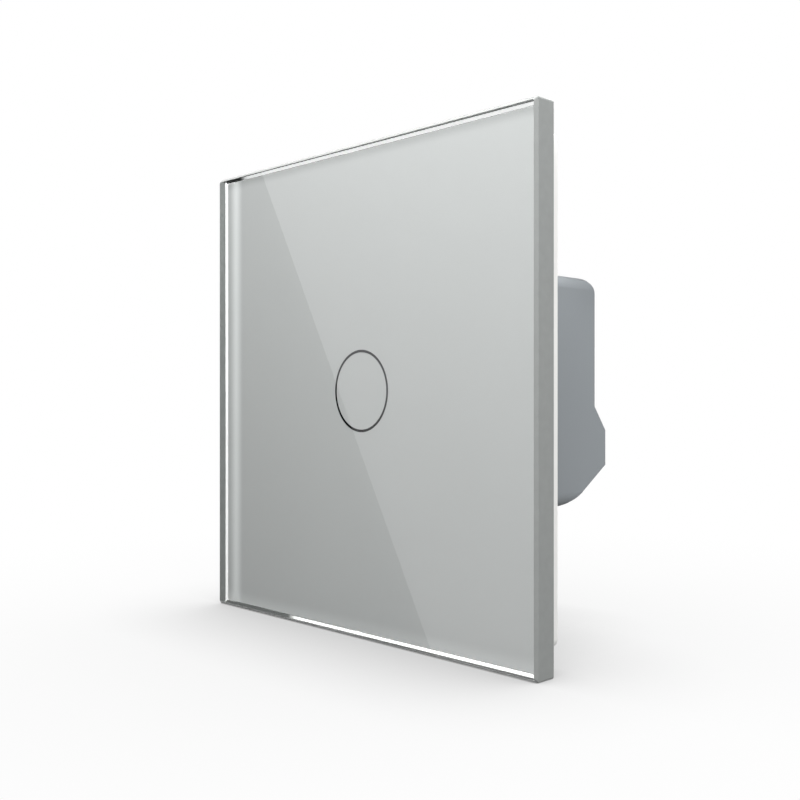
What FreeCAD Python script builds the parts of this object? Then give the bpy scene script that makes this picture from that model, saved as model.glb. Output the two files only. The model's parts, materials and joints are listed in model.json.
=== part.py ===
"""Wall-mounted touch dimmer: a glass panel on a clip-on carrier, and a module that sits in a round wall box.

Frame: +X right, +Y into the wall, +Z up, millimetres. The origin is the centre of the box screw pattern on the wall
plane, which is the back of the steel plate.
"""
import FreeCAD, Part
import math
import os
import re
import Sketcher

os.makedirs("parts", exist_ok=True)
doc = FreeCAD.newDocument("touch_dimmer")
sheet = doc.addObject("Spreadsheet::Sheet", "Sizes")

# Driving dimensions in millimetres, each with what it measures
SIZES = [
    ("panel_width", 80.0, "glass panel, both ways"),
    ("panel_depth", 8.1, "glass front to the wall plane"),
    ("glass_thickness", 4.2, "glass plate"),
    ("glass_corner", 1.0, "corner radius of the glass"),
    ("front_bevel", 0.45, "bevel round the glass front"),
    ("back_bevel", 0.55, "bevel round the glass back"),
    ("print_thickness", 0.12, "grey coat on the glass back"),
    ("ring_radius", 6.55, "centre line of the touch mark"),
    ("ring_line", 0.42, "line width of the touch mark"),
    ("ring_depth", 0.05, "thickness of the touch mark's print"),
    ("tape_thickness", 0.3, "tape between coat and carrier"),
    ("tape_width", 5.0, "tape, across its strip"),
    ("tape_margin", 1.0, "tape inside the carrier's edge"),
    ("carrier_width", 74.0, "carrier, both ways"),
    ("carrier_corner", 1.3, "corner radius of the carrier"),
    ("carrier_wall", 1.5, "carrier's outer wall"),
    ("carrier_web", 1.2, "carrier's front web"),
    ("carrier_window", 9.6, "radius of the carrier's centre opening"),
    ("pry_notch_width", 10.0, "lifting notch under the carrier"),
    ("pry_notch_depth", 1.4, "lifting notch, from the wall plane"),
    ("snap_offset", 18.0, "snap noses from the middle of each side"),
    ("snap_length", 6.0, "snap nose along the wall"),
    ("snap_nose", 0.25, "snap nose out of the wall"),
    ("snap_gap", 0.1, "snap nose behind its ledge"),
    ("plate_width", 70.4, "steel plate and base frame, both ways"),
    ("plate_corner", 2.0, "corner radius of plate and base frame"),
    ("plate_thickness", 1.0, "steel plate"),
    ("window_gap", 0.1, "plate's window outside the housing's inner walls"),
    ("box_pitch", 60.0, "wall box screw holes, centre to centre"),
    ("box_slot_width", 4.2, "slot for a box screw"),
    ("box_slot_length", 7.0, "slot for a box screw, end to end"),
    ("head_slot_width", 8.0, "window for a box screw's head"),
    ("head_slot_length", 11.0, "window for a box screw's head, end to end"),
    ("base_thickness", 1.0, "base frame's face"),
    ("rim_wall", 1.2, "base frame's locating rim"),
    ("rim_depth", 2.0, "base frame's locating rim behind its face"),
    ("rim_gap", 0.3, "locating rim inside the housing's mouth"),
    ("collar_wall", 1.1, "collar round the light guide"),
    ("collar_height", 1.2, "collar in front of the base frame"),
    ("guide_outer", 7.4, "light guide's outer radius"),
    ("guide_wall", 1.7, "light guide's wall"),
    ("guide_flange", 1.4, "light guide's flange out of the tube"),
    ("guide_flange_height", 1.0, "light guide's flange along the tube"),
    ("guide_gap", 0.3, "light guide to its collar, the coat and the lamps"),
    ("spring_radius", 4.0, "touch spring's coil, to the wire's centre"),
    ("spring_wire", 0.6, "touch spring's wire, across"),
    ("spring_turns", 3.0, "touch spring's turns"),
    ("sensor_board_y", 2.4, "front face of the sensor board"),
    ("board_thin", 1.2, "sensor board's thickness"),
    ("sensor_gap", 1.1, "sensor board to the screw bosses"),
    ("sensor_margin", 2.0, "sensor board inside the housing's top and floor"),
    ("post_inset_x", 2.7, "board posts in from the sensor board's side edges"),
    ("post_inset_z", 2.6, "board posts in from the sensor board's top and bottom"),
    ("post_half", 1.4, "board post's half width"),
    ("peg_radius", 0.8, "peg on a board post"),
    ("peg_gap", 0.1, "peg in its hole"),
    ("peg_length", 1.8, "peg beyond its post"),
    ("housing_width", 44.0, "rear housing along X"),
    ("housing_half_height", 19.6, "rear housing above and below the middle"),
    ("housing_corner", 2.3, "corner radius round the housing"),
    ("housing_wall", 1.6, "rear housing's wall"),
    ("upper_depth", 27.85, "wall plane to the upper rear face"),
    ("lower_depth", 30.9, "wall plane to the lower rear face"),
    ("slant_rise", 6.7, "slanted underside, from the housing's bottom up"),
    ("slant_length", 9.8, "slanted underside, measured along Y"),
    ("lower_face_height", 6.1, "lower rear face, from the slanted underside up"),
    ("slope_height", 4.2, "slope between the two rear faces, along Z"),
    ("upper_round", 2.8, "rounding at the top of the rear face"),
    ("lower_round", 12.4, "rounding from the slanted underside to the floor"),
    ("label_width", 26.0, "shallow bare panel in the rear face, along X"),
    ("label_height", 11.0, "shallow bare panel in the rear face, along Z"),
    ("label_sink", 0.3, "shallow bare panel's depth"),
    ("screw_inset_x", 3.4, "housing screws in from the inner side walls"),
    ("screw_inset_z", 3.6, "housing screws in from the inner top and floor"),
    ("boss_half", 2.4, "screw boss in the housing, half width"),
    ("boss_gap", 0.05, "screw boss beyond the terminal bay"),
    ("rib_root", 0.2, "ribs and ledges into the wall"),
    ("rib_limit", 0.4, "ribs under the housing's outside"),
    ("screw_shank", 0.95, "housing screw's shank radius"),
    ("screw_head", 2.1, "housing screw's head radius"),
    ("screw_head_height", 1.1, "housing screw's head"),
    ("screw_length", 10.0, "housing screw's shank under its head"),
    ("screw_cross", 1.3, "crossed driver slots, from the middle"),
    ("screw_cross_half", 0.25, "crossed driver slots' half width"),
    ("screw_gap", 0.1, "housing screw in its holes"),
    ("cup_wall", 0.7, "screw cup's wall"),
    ("cup_floor", 1.0, "screw cup's floor"),
    ("cup_depth", 2.2, "screw cup's back face behind the base frame's"),
    ("cup_gap", 0.3, "screw head in its cup"),
    ("power_board_y", 12.0, "front face of the power board"),
    ("board_thick", 1.6, "power board's thickness"),
    ("board_gap", 0.5, "power board inside the housing"),
    ("ledge_reach", 1.6, "ledge out of the housing's side wall"),
    ("ledge_place", 5.5, "ledges from the middle along Z"),
    ("ledge_width", 1.2, "ledge along Z"),
    ("block_gap", 0.3, "terminal block to its neighbours and the bay"),
    ("bay_wall", 1.2, "side wall of the terminal bay"),
    ("bay_front", 17.0, "front edge of the open terminal bay"),
    ("block_rise", 2.2, "terminal block above the lower rear face"),
    ("block_shoulder", 24.4, "depth where a terminal block steps down"),
    ("wire_hole", 1.4, "wire entry's radius"),
    ("wire_mouth", 2.0, "wire entry's mouth, half width"),
    ("wire_mouth_height", 1.2, "wire entry's mouth, along Z"),
    ("driver_hole", 2.0, "screwdriver hole's radius"),
    ("block_lip", 0.9, "lip round the screwdriver hole"),
    ("head_floor", 0.9, "floor under the clamp screw's head"),
    ("cage_half", 3.2, "clamp cage's half width"),
    ("cage_wall", 0.9, "clamp cage's side and floor"),
    ("cage_nut", 2.0, "clamp cage's threaded wall"),
    ("cage_length", 5.6, "clamp cage along the wire"),
    ("cage_travel", 2.4, "clamp cage from open to closed"),
    ("cage_gap", 0.2, "clamp cage to what it slides in"),
    ("wire_slot", 3.0, "open gap for the wire in the cage"),
    ("bar_thickness", 1.0, "contact bar"),
    ("bar_half", 2.0, "contact bar's half width"),
    ("bar_pin_half", 0.7, "contact bar's solder pin, half width"),
    ("bar_pin_length", 1.0, "solder pin in front of the board"),
    ("bar_sink", 1.0, "contact bar's bend under its block's top"),
    ("bar_gap", 0.1, "contact bar to its slots and the screw"),
    ("clamp_shank", 1.5, "clamp screw's shank radius"),
    ("clamp_head", 2.5, "clamp screw's head radius"),
    ("clamp_head_height", 1.9, "clamp screw's head"),
    ("clamp_fit", 0.06, "clamp screw in the cage's thread, radial"),
    ("clamp_gap", 0.15, "clamp screw in its block, all round"),
    ("drive_slot_width", 0.8, "screwdriver slot"),
    ("drive_slot_depth", 0.9, "screwdriver slot's depth"),
    ("lamp_length", 1.6, "indicator lamp along its board"),
    ("lamp_width", 0.8, "indicator lamp across"),
    ("lamp_height", 0.6, "indicator lamp off its board"),
    ("lamp_base", 0.35, "indicator lamp's base"),
    ("lamp_end", 0.3, "indicator lamp's solder end"),
    ("chip_width", 4.0, "chip's body between its rows of leads"),
    ("chip_height", 1.75, "chip off its board"),
    ("chip_lift", 0.12, "gap under a chip's body"),
    ("chip_pitch", 1.27, "chip's leads, centre to centre"),
    ("chip_end", 1.3, "chip's body longer than its row of leads"),
    ("chip_lead_width", 0.4, "chip's lead, across"),
    ("chip_lead_reach", 0.9, "chip's lead out of the body"),
    ("chip_knee_reach", 0.35, "chip's lead before its bend"),
    ("chip_lead_foot", 0.18, "chip's lead where it lies on the board"),
    ("sensor_chip_drop", 4.0, "touch chip below the board's middle"),
    ("controller_drop", 6.0, "dimming chip below the board's middle"),
    ("header_inset", 5.8, "pin strip in from the sensor board's top"),
    ("header_pitch", 2.54, "pins, centre to centre"),
    ("header_pin", 0.64, "pin, across"),
    ("header_depth", 2.5, "pin strip and socket along Z"),
    ("header_height", 2.4, "pin strip off its board"),
    ("header_gap", 0.1, "pin strip to socket, and pin in its socket, each side"),
    ("header_end", 1.27, "pin strip beyond the middle of its last pin"),
    ("socket_wall", 0.25, "socket beyond the pin strip, each end"),
    ("pin_short", 2.0, "pins stop in front of the power board"),
    ("socket_floor", 1.0, "socket's floor on the power board"),
    ("part_gap", 0.2, "big parts to the bosses and to each other"),
    ("triac_width", 10.0, "dimming transistor's case and tab"),
    ("triac_case_length", 9.2, "its case along Z"),
    ("triac_tab_length", 6.2, "its bare tab along Z"),
    ("triac_lift", 0.4, "its case off the board"),
    ("triac_case_depth", 4.2, "its case along Y"),
    ("triac_depth", 4.5, "its case and tab along Y"),
    ("triac_tab_depth", 1.3, "its tab along Y"),
    ("triac_hole", 1.8, "hole in its tab, radius"),
    ("triac_hole_up", 2.8, "hole in its tab, from the tab's end"),
    ("triac_lead_pitch", 2.54, "its leads, centre to centre"),
    ("triac_lead_width", 0.8, "its lead, across"),
    ("triac_lead_depth", 0.5, "its lead's thickness"),
    ("triac_lead_lift", 1.6, "its leads off the case's front"),
    ("triac_lead_out", 1.6, "its leads out of the case's end"),
    ("tab_gap", 1.2, "tab above the terminal blocks"),
    ("pad_thickness", 0.3, "heat pad between tab and sink"),
    ("pad_margin", 0.1, "heat pad beyond the case"),
    ("sink_thickness", 1.2, "sink's sheet"),
    ("sink_fin", 4.0, "sink's folded edges beyond its sheet"),
    ("varistor_gap", 1.8, "sink to the surge disc"),
    ("sink_gap", 0.4, "sink to the side wall's ledges"),
    ("sink_top_gap", 0.6, "sink under the upper boss"),
    ("sink_foot_low", 2.0, "sink's foot from the middle"),
    ("sink_foot_height", 5.0, "sink's foot along Z"),
    ("sink_screw", 1.5, "sink screw's shank radius"),
    ("sink_screw_gap", 0.1, "sink screw in the sink's hole"),
    ("sink_screw_head", 2.7, "sink screw's head radius"),
    ("sink_screw_head_height", 2.0, "sink screw's head"),
    ("sink_screw_start", 3.0, "sink screw's end behind the case's front"),
    ("choke_left", 9.5, "choke left of the middle"),
    ("choke_gap", 0.3, "choke above the fuse"),
    ("choke_flange", 4.5, "choke core's flange radius"),
    ("choke_waist", 2.6, "choke core's waist radius"),
    ("choke_cheek", 1.3, "choke core's flange along Y"),
    ("choke_height", 10.2, "choke core along Y"),
    ("winding_radius", 4.2, "winding's outer radius"),
    ("winding_gap", 0.05, "winding in its core"),
    ("film_left", 4.5, "film capacitor left of the middle"),
    ("film_gap", 1.0, "film capacitor under the housing's top"),
    ("film_length", 12.6, "film capacitor along X"),
    ("film_thickness", 4.8, "film capacitor along Z"),
    ("film_height", 10.5, "film capacitor off its board"),
    ("film_edge", 0.5, "film capacitor's bevelled edges"),
    ("can_radius", 2.0, "can capacitor's radius"),
    ("can_height", 10.8, "can capacitor off its board"),
    ("can_crimp", 1.0, "can capacitor's crimp off its board"),
    ("can_crimp_depth", 0.25, "its crimp's depth"),
    ("can_crimp_width", 0.8, "its crimp along Y"),
    ("can_rise", 2.4, "middle of the can above the terminal blocks"),
    ("can_gap", 1.7, "can capacitor to the inner side wall"),
    ("fuse_length", 7.8, "fuse along X"),
    ("fuse_right", 3.1, "fuse's right end left of the middle"),
    ("fuse_rise", 2.0, "middle of the fuse above the terminal blocks"),
    ("fuse_lift", 1.5, "middle of the fuse off its board"),
    ("fuse_tube", 1.2, "fuse's tube radius"),
    ("fuse_cap", 1.4, "fuse's end cap radius"),
    ("fuse_cap_length", 1.6, "fuse's end cap"),
    ("fuse_lead", 0.6, "fuse's lead, across"),
    ("varistor_radius", 3.6, "surge disc's radius"),
    ("varistor_thickness", 3.0, "surge disc along X"),
    ("varistor_right", 1.8, "surge disc's right face from the middle"),
    ("varistor_up", 4.6, "surge disc above the middle"),
    ("varistor_lift", 5.2, "middle of the surge disc off its board"),
    ("varistor_lead", 0.6, "surge disc's lead, across"),
    ("varistor_lead_pitch", 4.2, "surge disc's leads along Z"),
]
ALIASES = {row[0] for row in SIZES}
for line, (alias, size, meaning) in enumerate(SIZES, start=1):
    sheet.set(f"A{line}", meaning)
    sheet.set(f"B{line}", str(size))
    sheet.setAlias(f"B{line}", alias)
doc.recompute()

# Places worked out from the driving dimensions, as formulas
GLASS_FRONT = "(-panel_depth)"
GLASS_BACK = "(-panel_depth + glass_thickness)"
PRINT_BACK = f"({GLASS_BACK} + print_thickness)"
TAPE_BACK = f"({PRINT_BACK} + tape_thickness)"
WEB_BACK = f"({TAPE_BACK} + carrier_web)"
PLATE_FRONT = "(-plate_thickness)"
BASE_FRONT = "(-plate_thickness - base_thickness)"
INNER_HALF = "(housing_width / 2 - housing_wall)"
INNER_HEIGHT = "(housing_half_height - housing_wall)"
GUIDE_BORE = "(guide_outer - guide_wall)"
SCREW_X = f"({INNER_HALF} - screw_inset_x)"
SCREW_Z = f"({INNER_HEIGHT} - screw_inset_z)"
SLANT_TOP = "(slant_rise - housing_half_height)"
STEP_BOTTOM = f"({SLANT_TOP} + lower_face_height)"
STEP_TOP = f"({STEP_BOTTOM} + slope_height)"
BLOCK_TOP = f"({STEP_BOTTOM} + block_rise)"
SENSOR_HALF_X = f"({SCREW_X} - boss_half - sensor_gap)"
SENSOR_HALF_Z = f"({INNER_HEIGHT} - sensor_margin)"
POST_X = f"({SENSOR_HALF_X} - post_inset_x)"
POST_Z = f"({SENSOR_HALF_Z} - post_inset_z)"
CUP_BACK = f"({BASE_FRONT} + base_thickness + cup_depth)"
SENSOR_BACK = "(sensor_board_y + board_thin)"
BOARD_BACK = "(power_board_y + board_thick)"
BAY_HALF = f"({SCREW_X} - boss_half - boss_gap)"
PITCH = f"(({BAY_HALF} - block_gap / 2) / 1.5)"
BLOCK_HALF = f"(({PITCH} - block_gap) / 2)"
BAR_TOP = f"({BLOCK_TOP} - bar_sink)"
CAGE_LOW = f"({SLANT_TOP} - cage_gap)"
CAGE_HIGH = f"({CAGE_LOW} + cage_length)"
LIP = "(lower_depth - block_lip)"
HEAD_BACK = f"({LIP} - clamp_gap)"
HEAD_FRONT = f"({HEAD_BACK} - clamp_head_height)"
CAVITY_BACK = f"({HEAD_FRONT} - head_floor)"
NUT_CLOSED = f"({CAVITY_BACK} - cage_gap)"
NUT_FRONT = f"({NUT_CLOSED} - cage_travel - cage_nut)"
BAR_BACK = f"({NUT_FRONT} - cage_gap)"
BAR_FRONT = f"({BAR_BACK} - bar_thickness)"
FLOOR_BACK = f"({BAR_FRONT} - wire_slot)"
FLOOR_FRONT = f"({FLOOR_BACK} - cage_wall)"


def cells(text):
    """A formula with each alias pointed at its cell in the sheet."""
    return re.sub(r"[a-z_]+", lambda word: "Sizes." + word[0] if word[0] in ALIASES else word[0], str(text))


def number(text):
    """What a formula comes to now, in millimetres."""
    return float(sheet.evalExpression(cells(text)))


def bind(thing, **formulas):
    """Tie properties of an object to formulas."""
    for name, text in formulas.items():
        thing.setExpression(name, cells(text))
    return thing


def place(thing, x=0, y=0, z=0):
    """Tie an object's position to formulas."""
    for axis, text in zip("xyz", (x, y, z)):
        thing.setExpression(f".Placement.Base.{axis}", cells(text))
    return thing


# Sketches and the features made from them

FRONT, SIDE, TOP = "XZ_Plane", "YZ_Plane", "XY_Plane"


def body(name):
    return doc.addObject("PartDesign::Body", name)


def sketch(owner, plane, name, at=0):
    """A sketch on one of the body's own planes, moved along that plane's axis to the place at."""
    made = owner.newObject("Sketcher::SketchObject", name)
    made.AttachmentSupport = [(next(o for o in owner.Origin.OriginFeatures if o.Role == plane), "")]
    made.MapMode = "FlatFace"
    sign = "-" if plane == FRONT else ""
    made.setExpression(".AttachmentOffset.Base.z", cells(f"{sign}({at})"))
    return made


def pin_point(drawn, geometry, end, place_of):
    """Hold one point of the sketch at a pair of formulas."""
    for kind, text in zip(("DistanceX", "DistanceY"), place_of):
        now = number(text)
        if str(text) == "0":
            axis = -2 if kind == "DistanceX" else -1
            drawn.addConstraint(Sketcher.Constraint("PointOnObject", geometry, end, axis))
        else:
            index = drawn.addConstraint(Sketcher.Constraint(kind, -1, 1, geometry, end, now))
            drawn.setExpression(f"Constraints[{index}]", cells(text))


def polygon(drawn, points):
    """A closed outline of straight lines through points, each a pair of formulas."""
    corners = [FreeCAD.Vector(number(u), number(v), 0) for u, v in points]
    lines = [
        drawn.addGeometry(Part.LineSegment(a, b), False)
        for a, b in zip(corners, corners[1:] + corners[:1])
    ]
    for line, following in zip(lines, lines[1:] + lines[:1]):
        drawn.addConstraint(Sketcher.Constraint("Coincident", line, 2, following, 1))
    for line, point in zip(lines, points):
        pin_point(drawn, line, 1, point)


def rectangle(drawn, half_width, half_height, x="0", z="0"):
    """A rectangle about a centre."""
    polygon(drawn, [
        (f"{x} - {half_width}", f"{z} - {half_height}"),
        (f"{x} + {half_width}", f"{z} - {half_height}"),
        (f"{x} + {half_width}", f"{z} + {half_height}"),
        (f"{x} - {half_width}", f"{z} + {half_height}"),
    ])


def circle(drawn, radius, x="0", z="0"):
    """A circle about a centre."""
    centre = FreeCAD.Vector(number(x), number(z), 0)
    ring = drawn.addGeometry(Part.Circle(centre, FreeCAD.Vector(0, 0, 1), number(radius)), False)
    pin_point(drawn, ring, 3, (x, z))
    index = drawn.addConstraint(Sketcher.Constraint("Radius", ring, number(radius)))
    drawn.setExpression(f"Constraints[{index}]", cells(radius))


def slot(drawn, length, width, x="0", z="0", upright=False):
    """A slot with round ends about a centre, lying along the sketch's first axis or upright."""
    reach = f"({length} - {width}) / 2"
    run = (("0", reach) if upright else (reach, "0"))
    turn = math.pi / 2 if upright else 0.0
    radius = number(width) / 2
    ends = []
    for sign, start in (("-", math.pi / 2), ("+", -math.pi / 2)):
        centre = tuple(f"{base} {sign} {part}" if part != "0" else base for base, part in zip((x, z), run))
        middle = FreeCAD.Vector(number(centre[0]), number(centre[1]), 0)
        round_end = Part.Circle(middle, FreeCAD.Vector(0, 0, 1), radius)
        arc = Part.ArcOfCircle(round_end, start + turn, start + turn + math.pi)
        ends.append((drawn.addGeometry(arc, False), centre, arc))
    (first, first_centre, first_arc), (second, second_centre, second_arc) = ends
    upper = drawn.addGeometry(Part.LineSegment(first_arc.StartPoint, second_arc.EndPoint), False)
    lower = drawn.addGeometry(Part.LineSegment(first_arc.EndPoint, second_arc.StartPoint), False)
    for arc, end, line, line_end in ((first, 1, upper, 1), (first, 2, lower, 1),
                                     (second, 2, upper, 2), (second, 1, lower, 2)):
        drawn.addConstraint(Sketcher.Constraint("Tangent", arc, end, line, line_end))
    drawn.addConstraint(Sketcher.Constraint("Equal", first, second))
    pin_point(drawn, first, 3, first_centre)
    pin_point(drawn, second, 3, second_centre)
    index = drawn.addConstraint(Sketcher.Constraint("Radius", first, radius))
    drawn.setExpression(f"Constraints[{index}]", cells(f"{width} / 2"))


def feature(owner, kind, name, profile, length, backwards=False, both_ways=False):
    """A pad or pocket of a sketch. The volume tells that it did something."""
    before = owner.Shape.Volume if owner.Tip else 0.0
    made = owner.newObject(f"PartDesign::{kind}", name)
    made.Profile = profile
    bind(made, Length=length)
    made.Midplane = both_ways
    made.Reversed = backwards
    profile.Visibility = False
    doc.recompute()
    change = owner.Shape.Volume - before
    if (change <= 0) == (kind == "Pad"):
        raise ValueError(f"{name} changes the volume of {owner.Name} by {change:.3f}")
    return made


def pad_back(owner, name, profile, length):
    """Pad a front-plane sketch towards the wall."""
    return feature(owner, "Pad", name, profile, length, backwards=True)


def pocket_back(owner, name, profile, length):
    """Cut a front-plane sketch towards the wall."""
    return feature(owner, "Pocket", name, profile, length)


def edges_where(owner, wanted):
    """Names of the edges of a body's shape that pass a test."""
    return [f"Edge{n}" for n, edge in enumerate(owner.Shape.Edges, start=1) if wanted(edge)]


def dress(owner, kind, name, size, wanted):
    """A fillet or chamfer on the edges that pass a test."""
    chosen = edges_where(owner, wanted)
    made = owner.newObject(f"PartDesign::{kind}", name)
    made.Base = (owner.Tip if owner.Tip != made else made.BaseFeature, chosen)
    bind(made, **{"Radius" if kind == "Fillet" else "Size": size})
    doc.recompute()
    return made


def span(edge, axis):
    box = edge.BoundBox
    return {"x": box.XLength, "y": box.YLength, "z": box.ZLength}[axis]


def runs_along(edge, axis):
    """True for a straight edge that lies along one axis."""
    return span(edge, axis) > 1e-6 and all(span(edge, other) < 1e-6 for other in "xyz" if other != axis)


def lies_at(edge, axis, level):
    """True for an edge in the plane where the coordinate equals a formula."""
    box = edge.BoundBox
    low, high = {"x": (box.XMin, box.XMax), "y": (box.YMin, box.YMax), "z": (box.ZMin, box.ZMax)}[axis]
    here = number(level)
    return abs(low - here) < 1e-4 and abs(high - here) < 1e-4


def at_corner(edge, half_width, half_height):
    """True for an edge along Y at a corner of the rectangle with these half sizes."""
    middle = edge.BoundBox.Center
    return abs(abs(middle.x) - number(half_width)) < 1e-4 and abs(abs(middle.z) - number(half_height)) < 1e-4


def turned(name, points, x="0", y="0", z="0"):
    """A piece turned about the Y direction, from its half outline of (radius, depth) pairs."""
    owner = body(name)
    half = sketch(owner, TOP, name + "_outline")
    polygon(half, points)
    made = owner.newObject("PartDesign::Revolution", name + "_turn")
    made.Profile = half
    made.ReferenceAxis = (half, ["V_Axis"])
    made.Angle = 360
    half.Visibility = False
    return place(owner, x, y, z)


# Plain solids and their sums

ALONG = {
    "x": FreeCAD.Rotation(FreeCAD.Vector(0, 1, 0), 90),
    "y": FreeCAD.Rotation(FreeCAD.Vector(1, 0, 0), -90),
    "z": FreeCAD.Rotation(),
}


def block(name, x, y, z):
    """A box between pairs of formulas."""
    made = doc.addObject("Part::Box", name)
    for size, (low, high) in zip(("Length", "Width", "Height"), (x, y, z)):
        made.setExpression(size, cells(f"({high}) - ({low})"))
    return place(made, x[0], y[0], z[0])


def rod(name, axis, radius, low, high, centre):
    """A round bar along an axis. centre holds the two other coordinates, in X, Y, Z order."""
    made = doc.addObject("Part::Cylinder", name)
    made.Placement = FreeCAD.Placement(FreeCAD.Vector(), ALONG[axis])
    bind(made, Radius=radius, Height=f"({high}) - ({low})")
    where = list(centre)
    where.insert("xyz".index(axis), low)
    return place(made, *where)


def fuse(name, *pieces):
    made = doc.addObject("Part::MultiFuse", name)
    made.Shapes = list(pieces)
    made.Refine = True
    return made


def common(name, one, other):
    made = doc.addObject("Part::Common", name)
    made.Base, made.Tool = one, other
    return made


def cut(name, base, *tools):
    made = doc.addObject("Part::Cut", name)
    made.Base = base
    made.Tool = tools[0] if len(tools) == 1 else fuse(name + "_tools", *tools)
    made.Refine = True
    return made


def group(name, *pieces):
    made = doc.addObject("Part::Compound", name)
    made.Links = list(pieces)
    return made


NODES = {}


def keep(made, node):
    """Give a finished piece its name."""
    made.Label = node
    NODES[node] = made
    return made


def four(x, z):
    """The four places about the middle, as pairs of formulas."""
    return [(f"{a} {x}", f"{b} {z}") for a in "-+" for b in "-+"]


def pegged():
    """The two posts, across a diagonal, that end in a peg."""
    places = four(POST_X, POST_Z)
    return places[:1] + places[-1:]


# Glass panel assembly

def glass_panel():
    owner = body("glass_panel_body")
    face = sketch(owner, FRONT, "glass_outline", GLASS_FRONT)
    rectangle(face, "panel_width / 2", "panel_width / 2")
    pad_back(owner, "glass_plate", face, "glass_thickness")
    dress(owner, "Fillet", "glass_corners", "glass_corner", lambda e: runs_along(e, "y"))
    dress(owner, "Chamfer", "glass_front_bevel", "front_bevel", lambda e: lies_at(e, "y", GLASS_FRONT))
    dress(owner, "Chamfer", "glass_back_bevel", "back_bevel", lambda e: lies_at(e, "y", GLASS_BACK))
    keep(owner, "glass_panel")


def back_print():
    owner = body("back_print_body")
    face = sketch(owner, FRONT, "print_outline", GLASS_BACK)
    rectangle(face, "(panel_width / 2 - back_bevel)", "(panel_width / 2 - back_bevel)")
    pad_back(owner, "print_coat", face, "print_thickness")
    dress(owner, "Fillet", "print_corners", "glass_corner - back_bevel", lambda e: runs_along(e, "y"))
    groove = sketch(owner, FRONT, "print_groove_outline", GLASS_BACK)
    circle(groove, "(ring_radius + ring_line / 2)")
    circle(groove, "(ring_radius - ring_line / 2)")
    pocket_back(owner, "print_groove", groove, "ring_depth")
    keep(owner, "back_print")


def touch_ring():
    owner = body("touch_ring_body")
    face = sketch(owner, FRONT, "ring_outline", GLASS_BACK)
    circle(face, "(ring_radius + ring_line / 2)")
    circle(face, "(ring_radius - ring_line / 2)")
    pad_back(owner, "ring_print", face, "ring_depth")
    keep(owner, "touch_ring")


def adhesive_frame():
    owner = body("adhesive_body")
    face = sketch(owner, FRONT, "tape_outline", PRINT_BACK)
    outer = "(carrier_width / 2 - tape_margin)"
    inner = "(carrier_width / 2 - tape_margin - tape_width)"
    rectangle(face, outer, outer)
    rectangle(face, inner, inner)
    pad_back(owner, "tape_strip", face, "tape_thickness")
    keep(owner, "adhesive_frame")


def panel_frame():
    """The carrier: a web behind the glass, a wall to the wall plane and snap noses on all four sides."""
    owner = body("panel_frame_body")
    face = sketch(owner, FRONT, "carrier_outline", TAPE_BACK)
    rectangle(face, "carrier_width / 2", "carrier_width / 2")
    pad_back(owner, "carrier_block", face, f"-{TAPE_BACK}")
    dress(owner, "Fillet", "carrier_corners", "carrier_corner", lambda e: runs_along(e, "y"))
    inner = "(carrier_width / 2 - carrier_wall)"
    hollow = sketch(owner, FRONT, "carrier_hollow_outline", WEB_BACK)
    rectangle(hollow, inner, inner)
    pocket_back(owner, "carrier_hollow", hollow, f"-{WEB_BACK}")
    window = sketch(owner, FRONT, "carrier_window_outline", TAPE_BACK)
    circle(window, "carrier_window")
    pocket_back(owner, "carrier_window_cut", window, "carrier_web")
    notch = sketch(owner, FRONT, "pry_notch_outline", "-pry_notch_depth")
    rectangle(notch, "pry_notch_width / 2", "carrier_wall", "0", "-carrier_width / 2")
    pocket_back(owner, "pry_notch", notch, "pry_notch_depth")
    noses = []
    for side, start in (("left", "-snap_offset - snap_length / 2"), ("right", "snap_offset - snap_length / 2")):
        nose = sketch(owner, SIDE, f"snap_{side}_outline", start)
        polygon(nose, [
            ("-plate_thickness + snap_gap", f"{inner} + carrier_wall / 2"),
            ("-plate_thickness + snap_gap", f"{inner} - snap_nose"),
            ("-plate_thickness / 2", f"{inner} - snap_nose"),
            ("0", f"{inner}"),
            ("0", f"{inner} + carrier_wall / 2"),
        ])
        noses.append(feature(owner, "Pad", f"snap_{side}", nose, "snap_length"))
    ring = owner.newObject("PartDesign::PolarPattern", "snaps_all_round")
    ring.Originals = noses
    ring.Axis = (next(o for o in owner.Origin.OriginFeatures if o.Role == "Y_Axis"), [""])
    ring.Angle = 360
    ring.Occurrences = 4
    owner.Tip = ring
    keep(owner, "panel_frame")


# Base of the module

def box_slots(drawn, length, width):
    """The four slots at the wall box pitch, each along the line to its opposite."""
    for sign in "-+":
        slot(drawn, length, width, f"{sign} box_pitch / 2", "0")
        slot(drawn, length, width, "0", f"{sign} box_pitch / 2", upright=True)


def snap_notches(drawn):
    """Edge notches that clear the carrier's snap noses."""
    half = "(snap_length / 2 + snap_gap * 5)"
    for place_of in ("- snap_offset", "+ snap_offset"):
        for sign in "-+":
            rectangle(drawn, half, "snap_nose * 4", place_of, f"{sign} plate_width / 2")
            rectangle(drawn, "snap_nose * 4", half, f"{sign} plate_width / 2", place_of)


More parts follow.
